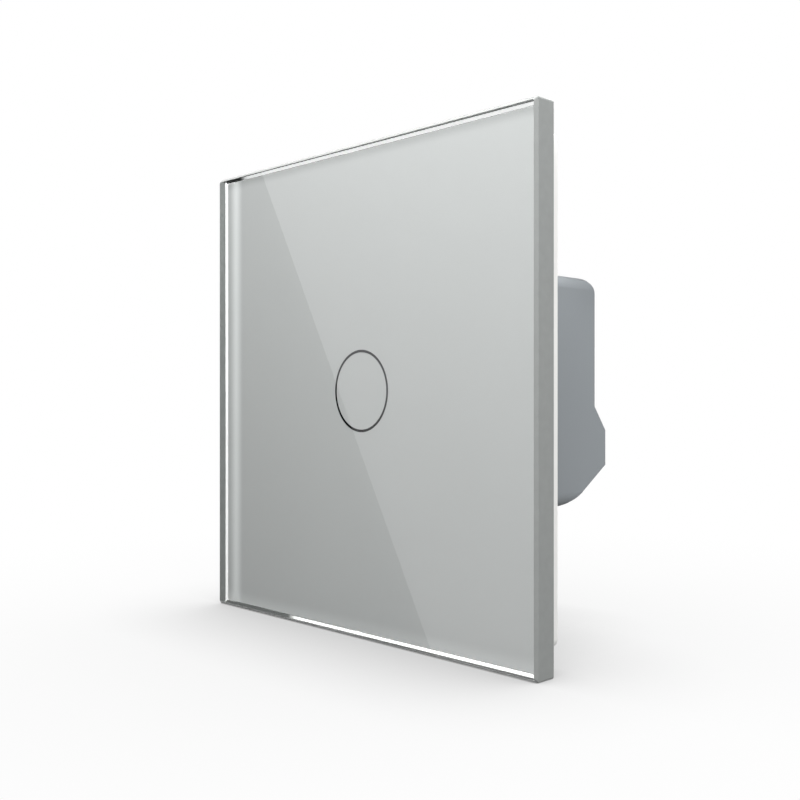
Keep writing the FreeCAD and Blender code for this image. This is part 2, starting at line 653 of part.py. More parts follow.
def mounting_plate():
    """The steel plate: window for the module, slots for the box screws, notches for the snap noses."""
    owner = body("mounting_plate_body")
    face = sketch(owner, FRONT, "plate_outline", PLATE_FRONT)
    rectangle(face, "plate_width / 2", "plate_width / 2")
    pad_back(owner, "plate_sheet", face, "plate_thickness")
    dress(owner, "Fillet", "plate_corners", "plate_corner", lambda e: runs_along(e, "y"))
    window = sketch(owner, FRONT, "plate_window_outline", PLATE_FRONT)
    rectangle(window, f"({INNER_HALF} + window_gap)", f"({INNER_HEIGHT} + window_gap)")
    pocket_back(owner, "plate_window", window, "plate_thickness")
    slots = sketch(owner, FRONT, "plate_slot_outlines", PLATE_FRONT)
    box_slots(slots, "box_slot_length", "box_slot_width")
    pocket_back(owner, "plate_slots", slots, "plate_thickness")
    notches = sketch(owner, FRONT, "plate_notch_outlines", PLATE_FRONT)
    snap_notches(notches)
    pocket_back(owner, "plate_notches", notches, "plate_thickness")
    keep(owner, "mounting_plate")


def base_frame():
    """The moulded front: face, collar for the light guide, locating rim, screw cups and board posts."""
    owner = body("base_frame_body")
    face = sketch(owner, FRONT, "base_outline", BASE_FRONT)
    rectangle(face, "plate_width / 2", "plate_width / 2")
    pad_back(owner, "base_face", face, "base_thickness")
    dress(owner, "Fillet", "base_corners", "plate_corner", lambda e: runs_along(e, "y"))
    rim = sketch(owner, FRONT, "rim_outline", PLATE_FRONT)
    outer = (f"({INNER_HALF} - rim_gap)", f"({INNER_HEIGHT} - rim_gap)")
    rectangle(rim, *outer)
    rectangle(rim, f"({outer[0]} - rim_wall)", f"({outer[1]} - rim_wall)")
    pad_back(owner, "rim", rim, "rim_depth")
    dress(owner, "Fillet", "rim_corners", "housing_corner - housing_wall",
          lambda e: runs_along(e, "y") and at_corner(e, *outer))
    cups = sketch(owner, FRONT, "cup_outlines", PLATE_FRONT)
    for x, z in four(SCREW_X, SCREW_Z):
        rectangle(cups, "(screw_head + cup_gap + cup_wall)", "(screw_head + cup_gap + cup_wall)", x, z)
    pad_back(owner, "cups", cups, "cup_depth")
    posts = sketch(owner, FRONT, "post_outlines", PLATE_FRONT)
    for x, z in four(POST_X, POST_Z):
        rectangle(posts, "post_half", "post_half", x, z)
    pad_back(owner, "posts", posts, f"sensor_board_y - {PLATE_FRONT}")
    pegs = sketch(owner, FRONT, "peg_outlines", "sensor_board_y")
    for x, z in pegged():
        circle(pegs, "peg_radius", x, z)
    pad_back(owner, "pegs", pegs, "peg_length")
    collar = sketch(owner, FRONT, "collar_outline", f"{BASE_FRONT} - collar_height")
    circle(collar, "(guide_outer + guide_gap + collar_wall)")
    pad_back(owner, "collar", collar, "collar_height")
    bore = sketch(owner, FRONT, "collar_bore_outline", f"{BASE_FRONT} - collar_height")
    circle(bore, "(guide_outer + guide_gap)")
    pocket_back(owner, "collar_bore", bore, "collar_height + base_thickness")
    heads = sketch(owner, FRONT, "cup_hollow_outlines", BASE_FRONT)
    for x, z in four(SCREW_X, SCREW_Z):
        circle(heads, "(screw_head + cup_gap)", x, z)
    pocket_back(owner, "cup_hollows", heads, "base_thickness + cup_depth - cup_floor")
    holes = sketch(owner, FRONT, "cup_hole_outlines", BASE_FRONT)
    for x, z in four(SCREW_X, SCREW_Z):
        circle(holes, "(screw_shank + screw_gap)", x, z)
    pocket_back(owner, "cup_holes", holes, "base_thickness + cup_depth")
    slots = sketch(owner, FRONT, "head_slot_outlines", BASE_FRONT)
    for sign in "-+":
        rectangle(slots, "head_slot_length / 2", "head_slot_width / 2", f"{sign} box_pitch / 2", "0")
        rectangle(slots, "head_slot_width / 2", "head_slot_length / 2", "0", f"{sign} box_pitch / 2")
    pocket_back(owner, "head_slots", slots, "base_thickness")
    keep(owner, "base_frame")


def housing_screws():
    """Four pan-head screws from the front, with crossed driver slots."""
    seat = f"({CUP_BACK} - cup_floor)"
    made = []
    for number_of, (x, z) in enumerate(four(SCREW_X, SCREW_Z), start=1):
        solid = turned(f"housing_screw_{number_of}_body", [
            ("0", f"{seat} - screw_head_height"),
            ("screw_head", f"{seat} - screw_head_height"),
            ("screw_head", seat),
            ("screw_shank", seat),
            ("screw_shank", f"{seat} + screw_length"),
            ("0", f"{seat} + screw_length"),
        ], x, "0", z)
        slots = [
            block(f"housing_screw_{number_of}_slot_{axis}",
                  (f"{x} - {half_x}", f"{x} + {half_x}"),
                  (f"{seat} - screw_head_height - 1", f"{seat} - screw_head_height * 0.4"),
                  (f"{z} - {half_z}", f"{z} + {half_z}"))
            for axis, half_x, half_z in (
                ("x", "screw_cross", "screw_cross_half"), ("z", "screw_cross_half", "screw_cross"))
        ]
        made.append(cut(f"housing_screw_{number_of}", solid, *slots))
    keep(group("housing_screw_set", *made), "housing_screws")


# Rear housing

SLOPE = "((lower_depth - upper_depth) / slope_height)"
FALL = "(slant_rise / slant_length)"


def housing_form(name, inset, front):
    """The housing's outside drawn in by an inset: a round-cornered block cut to the side profile."""
    section = body(name + "_section")
    face = sketch(section, FRONT, name + "_section_outline", front)
    half = (f"(housing_width / 2 - {inset})", f"(housing_half_height - {inset})")
    rectangle(face, *half)
    pad_back(section, name + "_section_pad", face, f"lower_depth - {inset} - ({front})")
    if number(f"housing_corner - {inset}") > 0.1:
        dress(section, "Fillet", name + "_corners", f"housing_corner - {inset}", lambda e: runs_along(e, "y"))
    profile = body(name + "_profile")
    side = sketch(profile, SIDE, name + "_side_outline")
    turn_out = f"tan(atan({SLOPE}) / 2)"
    turn_under = f"((1 - sin(atan({FALL}))) / cos(atan({FALL})))"
    turn_floor = f"tan(atan({FALL}) / 2)"
    polygon(side, [
        (front, half[1]),
        (f"upper_depth - {inset}", half[1]),
        (f"upper_depth - {inset}", f"{STEP_TOP} - {inset} * {turn_out}"),
        (f"lower_depth - {inset}", f"{STEP_BOTTOM} - {inset} * {turn_out}"),
        (f"lower_depth - {inset}", f"{SLANT_TOP} + {inset} * {turn_under}"),
        (f"lower_depth - slant_length - {inset} * {turn_floor}", f"-{half[1]}"),
        (front, f"-{half[1]}"),
    ])
    feature(profile, "Pad", name + "_side_pad", side, "housing_width", both_ways=True)
    knee = number(f"lower_depth - slant_length - {inset} * {turn_floor}")
    dress(profile, "Fillet", name + "_upper_round", f"upper_round - {inset}",
          lambda e: runs_along(e, "x") and lies_at(e, "y", f"upper_depth - {inset}") and e.BoundBox.ZMin > 0)
    dress(profile, "Fillet", name + "_lower_round", f"lower_round - {inset}",
          lambda e: runs_along(e, "x") and abs(e.BoundBox.YMin - knee) < 1e-4)
    return common(name + "_form", section, profile)


def rear_housing():
    """The moulded shell, its screw bosses, board ledges, the walled terminal bay and the bare panel."""
    outside_form = housing_form("housing_outer", "0", "0")
    inside_form = housing_form("housing_inner", "housing_wall", "-1")
    shell = cut("housing_shell", outside_form, inside_form)
    ribs = []
    for number_of, (x, z) in enumerate(four(SCREW_X, SCREW_Z), start=1):
        ribs.append(block(f"boss_{number_of}", (f"{x} - boss_half", f"{x} + boss_half"), (CUP_BACK, "lower_depth"),
                          (f"{z} - boss_half", f"{z} + boss_half")))
        sign = x[0]
        wall = (f"{x}", f"{sign} {INNER_HALF} {sign} rib_root")
        low, high = wall if sign == "+" else wall[::-1]
        ribs.append(block(f"boss_rib_{number_of}", (low, high), (CUP_BACK, "lower_depth"),
                          (f"{z} - ledge_width / 2", f"{z} + ledge_width / 2")))
    for number_of, (sign, z) in enumerate(((a, f"{b} ledge_place") for a in "-+" for b in "-+"), start=1):
        wall = (f"{sign} {INNER_HALF} {sign} rib_root", f"{sign} ({INNER_HALF} - ledge_reach)")
        low, high = wall if sign == "-" else wall[::-1]
        ribs.append(block(f"ledge_{number_of}", (low, high), (BOARD_BACK, "lower_depth"),
                          (f"{z} - ledge_width / 2", f"{z} + ledge_width / 2")))
    for number_of, sign in enumerate("-+", start=1):
        wall = (f"{sign} {BAY_HALF}", f"{sign} ({BAY_HALF} + bay_wall)")
        low, high = wall if sign == "+" else wall[::-1]
        ribs.append(block(f"bay_wall_{number_of}", (low, high), (BOARD_BACK, "lower_depth"),
                          ("-housing_half_height", BLOCK_TOP)))
    inner_ribs = common("housing_ribs", fuse("housing_rib_set", *ribs),
                        housing_form("housing_rib_limit", "rib_limit", "0"))
    bay = block("bay_opening", (f"-{BAY_HALF}", BAY_HALF), ("bay_front", "lower_depth + 1"),
                ("-housing_half_height - 1", STEP_BOTTOM))
    pilots = [
        rod(f"pilot_{n}", "y", "screw_shank + screw_gap / 2", "0", f"{CUP_BACK} + screw_length", (x, z))
        for n, (x, z) in enumerate(four(SCREW_X, SCREW_Z), start=1)
    ]
    label = block("bare_panel", ("-label_width / 2", "label_width / 2"),
                  ("upper_depth - label_sink", "upper_depth + 1"),
                  (f"(housing_half_height + {STEP_TOP}) / 2 - label_height / 2",
                   f"(housing_half_height + {STEP_TOP}) / 2 + label_height / 2"))
    walls = fuse("housing_walls", shell, inner_ribs)
    keep(cut("housing_finished", walls, bay, label, *pilots), "rear_housing")


# Touch sensor and indicator

def light_guide():
    """A clear flanged tube between the lamps and the touch mark."""
    keep(turned("light_guide_body", [
        (GUIDE_BORE, f"{PRINT_BACK} + guide_gap"),
        ("guide_outer", f"{PRINT_BACK} + guide_gap"),
        ("guide_outer", PLATE_FRONT),
        ("guide_outer + guide_flange", PLATE_FRONT),
        ("guide_outer + guide_flange", f"{PLATE_FRONT} + guide_flange_height"),
        ("guide_outer", f"{PLATE_FRONT} + guide_flange_height"),
        ("guide_outer", "sensor_board_y - lamp_height - guide_gap"),
        (GUIDE_BORE, "sensor_board_y - lamp_height - guide_gap"),
    ]), "light_guide")


def touch_spring():
    """A coil of six-sided wire from the sensor board to just behind the coat, on arcs of a quarter turn."""
    radius = number("spring_radius")
    wire = number("spring_wire") / 2
    front = number(f"{PRINT_BACK} + guide_gap") + wire
    back = number("sensor_board_y") - wire
    turns = number("spring_turns")
    steps = int(turns * 4)

    def point(quarter):
        angle = quarter * math.pi / 2
        depth = back + (front - back) * quarter / steps
        return FreeCAD.Vector(radius * math.cos(angle), depth, radius * math.sin(angle))

    arcs = [Part.Arc(point(n), point(n + 0.5), point(n + 1)).toShape() for n in range(steps)]
    path = Part.Wire(arcs)
    outward = FreeCAD.Vector(1, 0, 0)
    across = arcs[0].tangentAt(arcs[0].FirstParameter).cross(outward)
    across.normalize()
    corners = []
    for side in range(6):
        angle = (side + 0.5) * math.pi / 3
        corners.append(point(0) + outward * (wire * math.cos(angle)) + across * (wire * math.sin(angle)))
    section = Part.Face(Part.makePolygon(corners + corners[:1]))
    made = doc.addObject("Part::Feature", "touch_spring_coil")
    made.Shape = path.makePipe(section)
    gap = abs(front - back) / turns - 2 * wire
    print(f"touch spring: {turns:g} turns, gap between turns {gap:.2f} mm, volume {made.Shape.Volume:.2f}")
    keep(made, "touch_spring")


def sensor_board():
    owner = body("sensor_board_body")
    face = sketch(owner, FRONT, "sensor_board_outline", "sensor_board_y")
    rectangle(face, SENSOR_HALF_X, SENSOR_HALF_Z)
    pad_back(owner, "sensor_board_sheet", face, "board_thin")
    holes = sketch(owner, FRONT, "sensor_board_hole_outlines", "sensor_board_y")
    for x, z in pegged():
        circle(holes, "(peg_radius + peg_gap)", x, z)
    pocket_back(owner, "sensor_board_holes", holes, "board_thin")
    keep(owner, "sensor_board")


def chip(node, x, z, face, leads):
    """A small outline chip on the back (+) or front (-) of a board, with gull-wing leads along its two long sides."""
    sign = "+" if face[0] == "+" else "-"
    board = face[1:]
    half_x = f"((({leads} - 1) * chip_pitch + chip_end) / 2)"
    half_z = "(chip_width / 2)"

    def depths(low, high):
        ends = (f"{board} {sign} {low}", f"{board} {sign} {high}")
        return ends if sign == "+" else ends[::-1]

    pieces = [block(node + "_body", (f"{x} - {half_x}", f"{x} + {half_x}"), depths("chip_lift", "chip_height"),
                    (f"{z} - {half_z}", f"{z} + {half_z}"))]
    bends = (("knee", "chip_knee_reach", "0", "chip_height * 0.6"), ("foot", "chip_lead_reach", "0", "chip_lead_foot"))
    for lead in range(leads):
        along = f"{x} + chip_pitch * ({lead} - ({leads} - 1) / 2)"
        for side in "-+":
            edge = f"{z} {side} {half_z}"
            for part, reach, low, high in bends:
                run = (edge, f"{edge} {side} {reach}")
                run = run if side == "+" else run[::-1]
                sides = "upper" if side == "+" else "lower"
                pieces.append(block(f"{node}_{part}_{sides}_{lead}",
                                    (f"{along} - chip_lead_width / 2", f"{along} + chip_lead_width / 2"),
                                    depths(low, high), run))
    keep(fuse(node + "_all", *pieces), node)


def leds(node, places_of):
    """Small lamps on the front of the sensor board, on the touch mark's circle."""
    made = []
    for number_of, (x, z) in enumerate(places_of, start=1):
        up = (f"{z} - lamp_width / 2", f"{z} + lamp_width / 2")
        base = block(f"{node}_{number_of}_base", (f"{x} - lamp_length / 2", f"{x} + lamp_length / 2"),
                     ("sensor_board_y - lamp_base", "sensor_board_y"), up)
        dome = block(f"{node}_{number_of}_dome",
                     (f"{x} - lamp_length / 2 + lamp_end", f"{x} + lamp_length / 2 - lamp_end"),
                     ("sensor_board_y - lamp_height", "sensor_board_y - lamp_base"), up)
        made.append(fuse(f"{node}_{number_of}", base, dome))
    keep(group(node + "_set", *made), node)


def board_connector():
    """Five pins from the sensor board into a socket on the power board."""
    middle = f"({SENSOR_HALF_Z} - header_inset)"
    up = (f"{middle} - header_depth / 2", f"{middle} + header_depth / 2")
    half = "(2 * header_pitch + header_end)"
    pins = [f"{n} * header_pitch" for n in range(-2, 3)]

    def column(name, x, reach, depth):
        return block(name, (f"{x} - {reach}", f"{x} + {reach}"), depth, (f"{middle} - {reach}", f"{middle} + {reach}"))

    strip = block("header_strip", (f"-{half}", half), (SENSOR_BACK, f"{SENSOR_BACK} + header_height"), up)
    posts = [
        column(f"header_pin_{n}", x, "header_pin / 2", (SENSOR_BACK, "power_board_y - pin_short"))
        for n, x in enumerate(pins, start=1)
    ]
    keep(fuse("pin_header_all", strip, *posts), "pin_header")
    body_of = block("socket_body", (f"-{half} - socket_wall", f"{half} + socket_wall"),
                    (f"{SENSOR_BACK} + header_height + header_gap", "power_board_y"), up)
    holes = [
        column(f"socket_hole_{n}", x, "(header_pin / 2 + header_gap)",
               (f"{SENSOR_BACK} + header_height", "power_board_y - socket_floor"))
        for n, x in enumerate(pins, start=1)
    ]
    keep(cut("pin_socket_all", body_of, *holes), "pin_socket")


# Power board and what stands on it

def power_board():
    """The board on its ledges, notched round the bosses, with slots for the contact bars' pins."""
    sheet_of = block("power_board_sheet", (f"-{INNER_HALF} + board_gap", f"{INNER_HALF} - board_gap"),
                     ("power_board_y", BOARD_BACK), (f"-{INNER_HEIGHT} + board_gap", f"{INNER_HEIGHT} - board_gap"))
    notches = []
    for number_of, (x, z) in enumerate(four(SCREW_X, SCREW_Z), start=1):
        reach_x = f"{x} {x[0]} 10"
        reach_z = f"{z} {z[0]} 10"
        near_x = f"{x} {'-' if x[0] == '+' else '+'} (boss_half + block_gap)"
        near_z = f"{z} {'-' if z[0] == '+' else '+'} (boss_half + block_gap)"
        across = (near_x, reach_x) if x[0] == "+" else (reach_x, near_x)
        up = (near_z, reach_z) if z[0] == "+" else (reach_z, near_z)
        notches.append(block(f"board_notch_{number_of}", across, ("power_board_y - 1", f"{BOARD_BACK} + 1"), up))
    for index in (-1, 0, 1):
        middle = f"{index} * {PITCH}"
        half = "(bar_pin_half + bar_gap)"
        notches.append(block(f"pin_slot_{index + 2}", (f"{middle} - {half}", f"{middle} + {half}"),
                             ("power_board_y - 1", f"{BOARD_BACK} + 1"),
                             (f"{BAR_TOP} - bar_thickness - bar_gap", f"{BAR_TOP} + bar_gap")))
    keep(cut("power_board_all", sheet_of, *notches), "power_board")


TRIAC_X = f"({SCREW_X} - boss_half - part_gap - triac_width / 2)"
TAB_LOW = f"({BLOCK_TOP} + tab_gap)"
CASE_LOW = f"({TAB_LOW} + triac_tab_length)"
CASE_HIGH = f"({CASE_LOW} + triac_case_length)"
CASE_FRONT = f"({BOARD_BACK} + triac_lift)"
CASE_BACK = f"({CASE_FRONT} + triac_depth)"
SINK_FRONT = f"({CASE_BACK} + pad_thickness)"
SINK_BACK = f"({SINK_FRONT} + sink_thickness)"


def triac_and_sink():
    """The switching device lies under a folded aluminium sink, with a pad between and one screw."""
    across = (f"{TRIAC_X} - triac_width / 2", f"{TRIAC_X} + triac_width / 2")
    case = block("triac_case", across, (CASE_FRONT, f"{CASE_FRONT} + triac_case_depth"), (CASE_LOW, CASE_HIGH))
    tab = block("triac_tab", across, (f"{CASE_BACK} - triac_tab_depth", CASE_BACK), (TAB_LOW, CASE_HIGH))
    legs = []
    lead_back = f"({CASE_FRONT} + triac_lead_lift + triac_lead_depth)"
    lead_end = f"({CASE_HIGH} + triac_lead_out)"
    for n in (-1, 0, 1):
        x = f"({TRIAC_X} + {n} * triac_lead_pitch)"
        width = (f"{x} - triac_lead_width / 2", f"{x} + triac_lead_width / 2")
        legs.append(block(f"triac_leg_out_{n + 2}", width, (f"{CASE_FRONT} + triac_lead_lift", lead_back),
                          (CASE_HIGH, lead_end)))
        legs.append(block(f"triac_leg_down_{n + 2}", width, (BOARD_BACK, lead_back),
                          (f"{lead_end} - triac_lead_depth", lead_end)))
    hole_z = f"({TAB_LOW} + triac_hole_up)"
    hole = rod("triac_hole", "y", "triac_hole", CASE_FRONT, SINK_FRONT, (TRIAC_X, hole_z))
    keep(cut("triac_all", fuse("triac_solid", case, tab, *legs), hole), "triac")
    pad_of = block("thermal_pad_sheet", (f"{across[0]} - pad_margin", f"{across[1]} + pad_margin"),
                   (CASE_BACK, SINK_FRONT), (f"{TAB_LOW} - pad_margin", f"{CASE_HIGH} + pad_margin"))
    pad_hole = rod("thermal_pad_hole", "y", "triac_hole", CASE_FRONT, "lower_depth", (TRIAC_X, hole_z))
    keep(cut("thermal_pad_all", pad_of, pad_hole), "thermal_pad")
    low = "(varistor_right + varistor_gap)"
    high = f"({INNER_HALF} - ledge_reach - sink_gap)"
    up = (TAB_LOW, f"{SCREW_Z} - boss_half - sink_top_gap")
    sheet_of = block("sink_sheet", (low, high), (SINK_FRONT, SINK_BACK), up)
    fin_depth = (SINK_FRONT, f"{SINK_BACK} + sink_fin")
    fins = [
        block("sink_fin_left", (low, f"{low} + sink_thickness"), fin_depth, up),
        block("sink_fin_right", (f"{high} - sink_thickness", high), fin_depth, up),
    ]
    foot = block("sink_foot", (f"{high} - sink_thickness", high), (BOARD_BACK, SINK_FRONT),
                 ("sink_foot_low", "sink_foot_low + sink_foot_height"))
    bore = rod("sink_hole", "y", "(sink_screw + sink_screw_gap)", CASE_FRONT, "lower_depth", (TRIAC_X, hole_z))
    keep(cut("heat_sink_all", fuse("heat_sink_solid", sheet_of, foot, *fins), bore), "heat_sink")
    head = turned("triac_screw_body", [
        ("0", f"{CASE_FRONT} + sink_screw_start"),
        ("sink_screw", f"{CASE_FRONT} + sink_screw_start"),
        ("sink_screw", SINK_BACK),
        ("sink_screw_head", SINK_BACK),
        ("sink_screw_head", f"{SINK_BACK} + sink_screw_head_height"),
        ("0", f"{SINK_BACK} + sink_screw_head_height"),
    ], TRIAC_X, "0", hole_z)
    groove = block("triac_screw_slot", (f"{TRIAC_X} - 5", f"{TRIAC_X} + 5"),
                   (f"{SINK_BACK} + sink_screw_head_height / 2", "lower_depth"),
                   (f"{hole_z} - drive_slot_width / 2", f"{hole_z} + drive_slot_width / 2"))
    keep(cut("triac_screw_all", head, groove), "triac_screw")


FUSE_Z = f"({BLOCK_TOP} + fuse_rise)"
CHOKE_Z = f"({FUSE_Z} + fuse_cap + choke_gap + choke_flange)"


def choke():
    """A drum core with its winding between the flanges."""
    low = f"({BOARD_BACK} + choke_cheek)"
    high = f"({BOARD_BACK} + choke_height - choke_cheek)"
    keep(turned("choke_core_body", [
        ("0", BOARD_BACK), ("choke_flange", BOARD_BACK), ("choke_flange", low), ("choke_waist", low),
        ("choke_waist", high), ("choke_flange", high), ("choke_flange", f"{BOARD_BACK} + choke_height"),
        ("0", f"{BOARD_BACK} + choke_height"),
    ], "-choke_left", "0", CHOKE_Z), "choke_core")
    keep(turned("choke_winding_body", [
        ("choke_waist + winding_gap", f"{low} + winding_gap"), ("winding_radius", f"{low} + winding_gap"),
        ("winding_radius", f"{high} - winding_gap"), ("choke_waist + winding_gap", f"{high} - winding_gap"),
    ], "-choke_left", "0", CHOKE_Z), "choke_winding")


def capacitors():
    """The box-shaped film capacitor under the top wall and the can with a crimp near its foot."""
    owner = body("film_capacitor_body")
    face = sketch(owner, FRONT, "film_capacitor_outline", f"{BOARD_BACK}")
    rectangle(face, "film_length / 2", "film_thickness / 2", "-film_left",
              f"({INNER_HEIGHT} - film_gap - film_thickness / 2)")
    pad_back(owner, "film_capacitor_case", face, "film_height")
    dress(owner, "Chamfer", "film_capacitor_edges", "film_edge",
          lambda e: e.BoundBox.YMax > number(f"{BOARD_BACK} + film_edge"))
    keep(owner, "film_capacitor")
    crimp = f"({BOARD_BACK} + can_crimp)"
    keep(turned("electrolytic_body", [
        ("0", BOARD_BACK), ("can_radius", BOARD_BACK), ("can_radius", crimp), ("can_radius - can_crimp_depth", crimp),
        ("can_radius - can_crimp_depth", f"{crimp} + can_crimp_width"), ("can_radius", f"{crimp} + can_crimp_width"),
        ("can_radius", f"{BOARD_BACK} + can_height"), ("0", f"{BOARD_BACK} + can_height"),
    ], f"-({INNER_HALF} - can_gap - can_radius)", "0", f"({BLOCK_TOP} + can_rise)"), "electrolytic_capacitor")


def fuse_and_varistor():
    """A tube fuse on two posts, and the surge disc on its two leads."""
    depth = f"({BOARD_BACK} + fuse_lift)"
    left, right = ("(-fuse_right - fuse_length)", "(-fuse_right)")
    tube = rod("fuse_tube", "x", "fuse_tube", f"{left} + fuse_cap_length / 2", f"{right} - fuse_cap_length / 2",
               (depth, FUSE_Z))
    ends = ((left, f"{left} + fuse_cap_length"), (f"{right} - fuse_cap_length", right))
    caps = [rod(f"fuse_cap_{n}", "x", "fuse_cap", low, high, (depth, FUSE_Z)) for n, (low, high) in enumerate(ends, 1)]
    clips = [
        block(f"fuse_lead_{n}", (f"({low} + {high}) / 2 - fuse_lead / 2", f"({low} + {high}) / 2 + fuse_lead / 2"),
              (BOARD_BACK, depth), (f"{FUSE_Z} - fuse_lead / 2", f"{FUSE_Z} + fuse_lead / 2"))
        for n, (low, high) in enumerate(ends, 1)
    ]
    keep(fuse("fuse_all", tube, *caps, *clips), "fuse")
    middle = f"({BOARD_BACK} + varistor_lift)"
    left = "(varistor_right - varistor_thickness)"
    disc = rod("varistor_disc", "x", "varistor_radius", left, "varistor_right", (middle, "varistor_up"))
    leads = []
    for n, (x, sign) in enumerate(((f"({left} + varistor_lead)", "-"), ("(varistor_right - varistor_lead)", "+")), 1):
        z = f"(varistor_up {sign} varistor_lead_pitch / 2)"
        leads.append(block(f"varistor_lead_{n}", (f"{x} - varistor_lead / 2", f"{x} + varistor_lead / 2"),
                           (BOARD_BACK, middle), (f"{z} - varistor_lead / 2", f"{z} + varistor_lead / 2")))
    keep(fuse("varistor_all", disc, *leads), "varistor")


# Wire terminals

def terminal(index):
    """One rising-cage terminal: block, contact bar, clamp cage and clamp screw."""
    x = f"({index} * {PITCH})"
    name = f"terminal_{index + 2}"
    upright = (f"{x} - {BLOCK_HALF}", f"{x} + {BLOCK_HALF}")
    screw_z = f"(({CAGE_LOW} + {CAGE_HIGH}) / 2)"
    wire_y = f"(({BAR_FRONT} + {FLOOR_BACK}) / 2)"
    bar_slot = (f"{x} - bar_half - bar_gap", f"{x} + bar_half + bar_gap")
    solid = fuse(
        name + "_solid",
        block(name + "_high", upright, (BOARD_BACK, "block_shoulder"), ("-housing_half_height", BLOCK_TOP)),
        block(name + "_low", upright, (BOARD_BACK, "lower_depth"),
              ("-housing_half_height", f"{STEP_BOTTOM} - block_gap")),
    )
    shaped = common(name + "_shaped", solid, housing_form(name + "_limit", "block_gap", BOARD_BACK))
    moulded = cut(name + "_trimmed", shaped, block(
        name + "_floor_gap", (f"{x} - 10", f"{x} + 10"), (f"{BOARD_BACK} - 1", "bay_front"),
        ("-housing_half_height - 1", f"-{INNER_HEIGHT} + block_gap")))
    cavity_half = "(cage_half + cage_gap)"
    tools = [
        block(name + "_cavity", (f"{x} - {cavity_half}", f"{x} + {cavity_half}"),
              (f"{FLOOR_FRONT} - cage_gap", CAVITY_BACK), (f"{CAGE_LOW} - cage_gap", f"{CAGE_HIGH} + cage_gap")),
        rod(name + "_shank_hole", "y", "clamp_shank + clamp_gap", BAR_BACK, "lower_depth", (x, screw_z)),
        rod(name + "_head_hole", "y", "clamp_head + clamp_gap", f"{HEAD_FRONT} - clamp_gap", LIP, (x, screw_z)),
        rod(name + "_driver_hole", "y", "driver_hole", LIP, "lower_depth + 1", (x, screw_z)),
        rod(name + "_wire_hole", "z", "wire_hole", "-housing_half_height", CAGE_LOW, (x, wire_y)),
        block(name + "_wire_mouth", (f"{x} - wire_mouth", f"{x} + wire_mouth"),
              (f"{wire_y} - wire_mouth", f"{wire_y} + wire_mouth"),
              ("-housing_half_height", "-housing_half_height + block_gap + wire_mouth_height")),
        block(name + "_bar_slot", bar_slot, (f"{BAR_FRONT} - bar_gap", f"{BAR_BACK} + bar_gap"),
              (f"{CAGE_LOW} - cage_gap", f"{BAR_TOP} + bar_gap")),
        block(name + "_leg_slot", bar_slot, (f"{BOARD_BACK} - 1", f"{BAR_BACK} + bar_gap"),
              (f"{BAR_TOP} - bar_thickness - bar_gap", f"{BAR_TOP} + bar_gap")),
    ]
    keep(cut(name + "_block", moulded, *tools), f"terminal_block_{index + 2}")
    bar = fuse(
        name + "_bar_all",
        block(name + "_bar", (f"{x} - bar_half", f"{x} + bar_half"), (BAR_FRONT, BAR_BACK), (CAGE_LOW, BAR_TOP)),
        block(name + "_bar_leg", (f"{x} - bar_half", f"{x} + bar_half"), (BOARD_BACK, BAR_BACK),
              (f"{BAR_TOP} - bar_thickness", BAR_TOP)),
        block(name + "_bar_pin", (f"{x} - bar_pin_half", f"{x} + bar_pin_half"),
              ("power_board_y - bar_pin_length", BOARD_BACK), (f"{BAR_TOP} - bar_thickness", BAR_TOP)),
    )
    keep(bar, f"contact_bar_{index + 2}")
    cage_outer = block(name + "_cage_outer", (f"{x} - cage_half", f"{x} + cage_half"),
                       (FLOOR_FRONT, f"{NUT_FRONT} + cage_nut"), (CAGE_LOW, CAGE_HIGH))
    cage_inner = block(name + "_cage_inner", (f"{x} - cage_half + cage_wall", f"{x} + cage_half - cage_wall"),
                       (FLOOR_BACK, NUT_FRONT), (f"{CAGE_LOW} - 1", f"{CAGE_HIGH} + 1"))
    thread = rod(name + "_cage_thread", "y", "clamp_shank + clamp_fit", f"{NUT_FRONT} - 0.5", "lower_depth",
                 (x, screw_z))
    keep(cut(name + "_cage_all", cage_outer, cage_inner, thread), f"clamp_cage_{index + 2}")
    start = f"({BAR_BACK} + bar_gap)"
    turned_screw = turned(name + "_screw_body", [
        ("0", start),
        ("clamp_shank", start),
        ("clamp_shank", HEAD_FRONT),
        ("clamp_head", HEAD_FRONT),
        ("clamp_head", HEAD_BACK),
        ("0", HEAD_BACK),
    ], x, "0", screw_z)
    drive = block(name + "_drive_slot", (f"{x} - drive_slot_width / 2", f"{x} + drive_slot_width / 2"),
                  (f"{HEAD_BACK} - drive_slot_depth", "lower_depth"), (f"{screw_z} - 5", f"{screw_z} + 5"))
    keep(cut(name + "_screw_all", turned_screw, drive), f"clamp_screw_{index + 2}")


glass_panel()
back_print()
touch_ring()
adhesive_frame()
panel_frame()
mounting_plate()
base_frame()
housing_screws()
rear_housing()
light_guide()
touch_spring()
sensor_board()
chip("sensor_chip", "0", "-sensor_chip_drop", f"+{SENSOR_BACK}", 8)
leds("blue_leds", [("ring_radius", "0"), ("-ring_radius", "0")])
leds("red_leds", [("0", "ring_radius"), ("0", "-ring_radius")])
board_connector()
power_board()
chip("controller_chip", f"-{PITCH} / 2", "-controller_drop", "-power_board_y", 4)
triac_and_sink()
choke()
capacitors()
fuse_and_varistor()
for place_in_row in (-1, 0, 1):
    terminal(place_in_row)

doc.recompute()
for made in doc.Objects:
    bad = [word for word in made.State if word in ("Invalid", "Error")]
    if bad:
        raise ValueError(f"{made.Name} is {bad}")
for node, made in NODES.items():
    if made.Shape.isNull() or not made.Shape.isValid():
        raise ValueError(f"{node} has no valid shape")
for node, made in NODES.items():
    made.Shape.exportStep(f"parts/{node}.step")
print(f"{len(NODES)} pieces written")
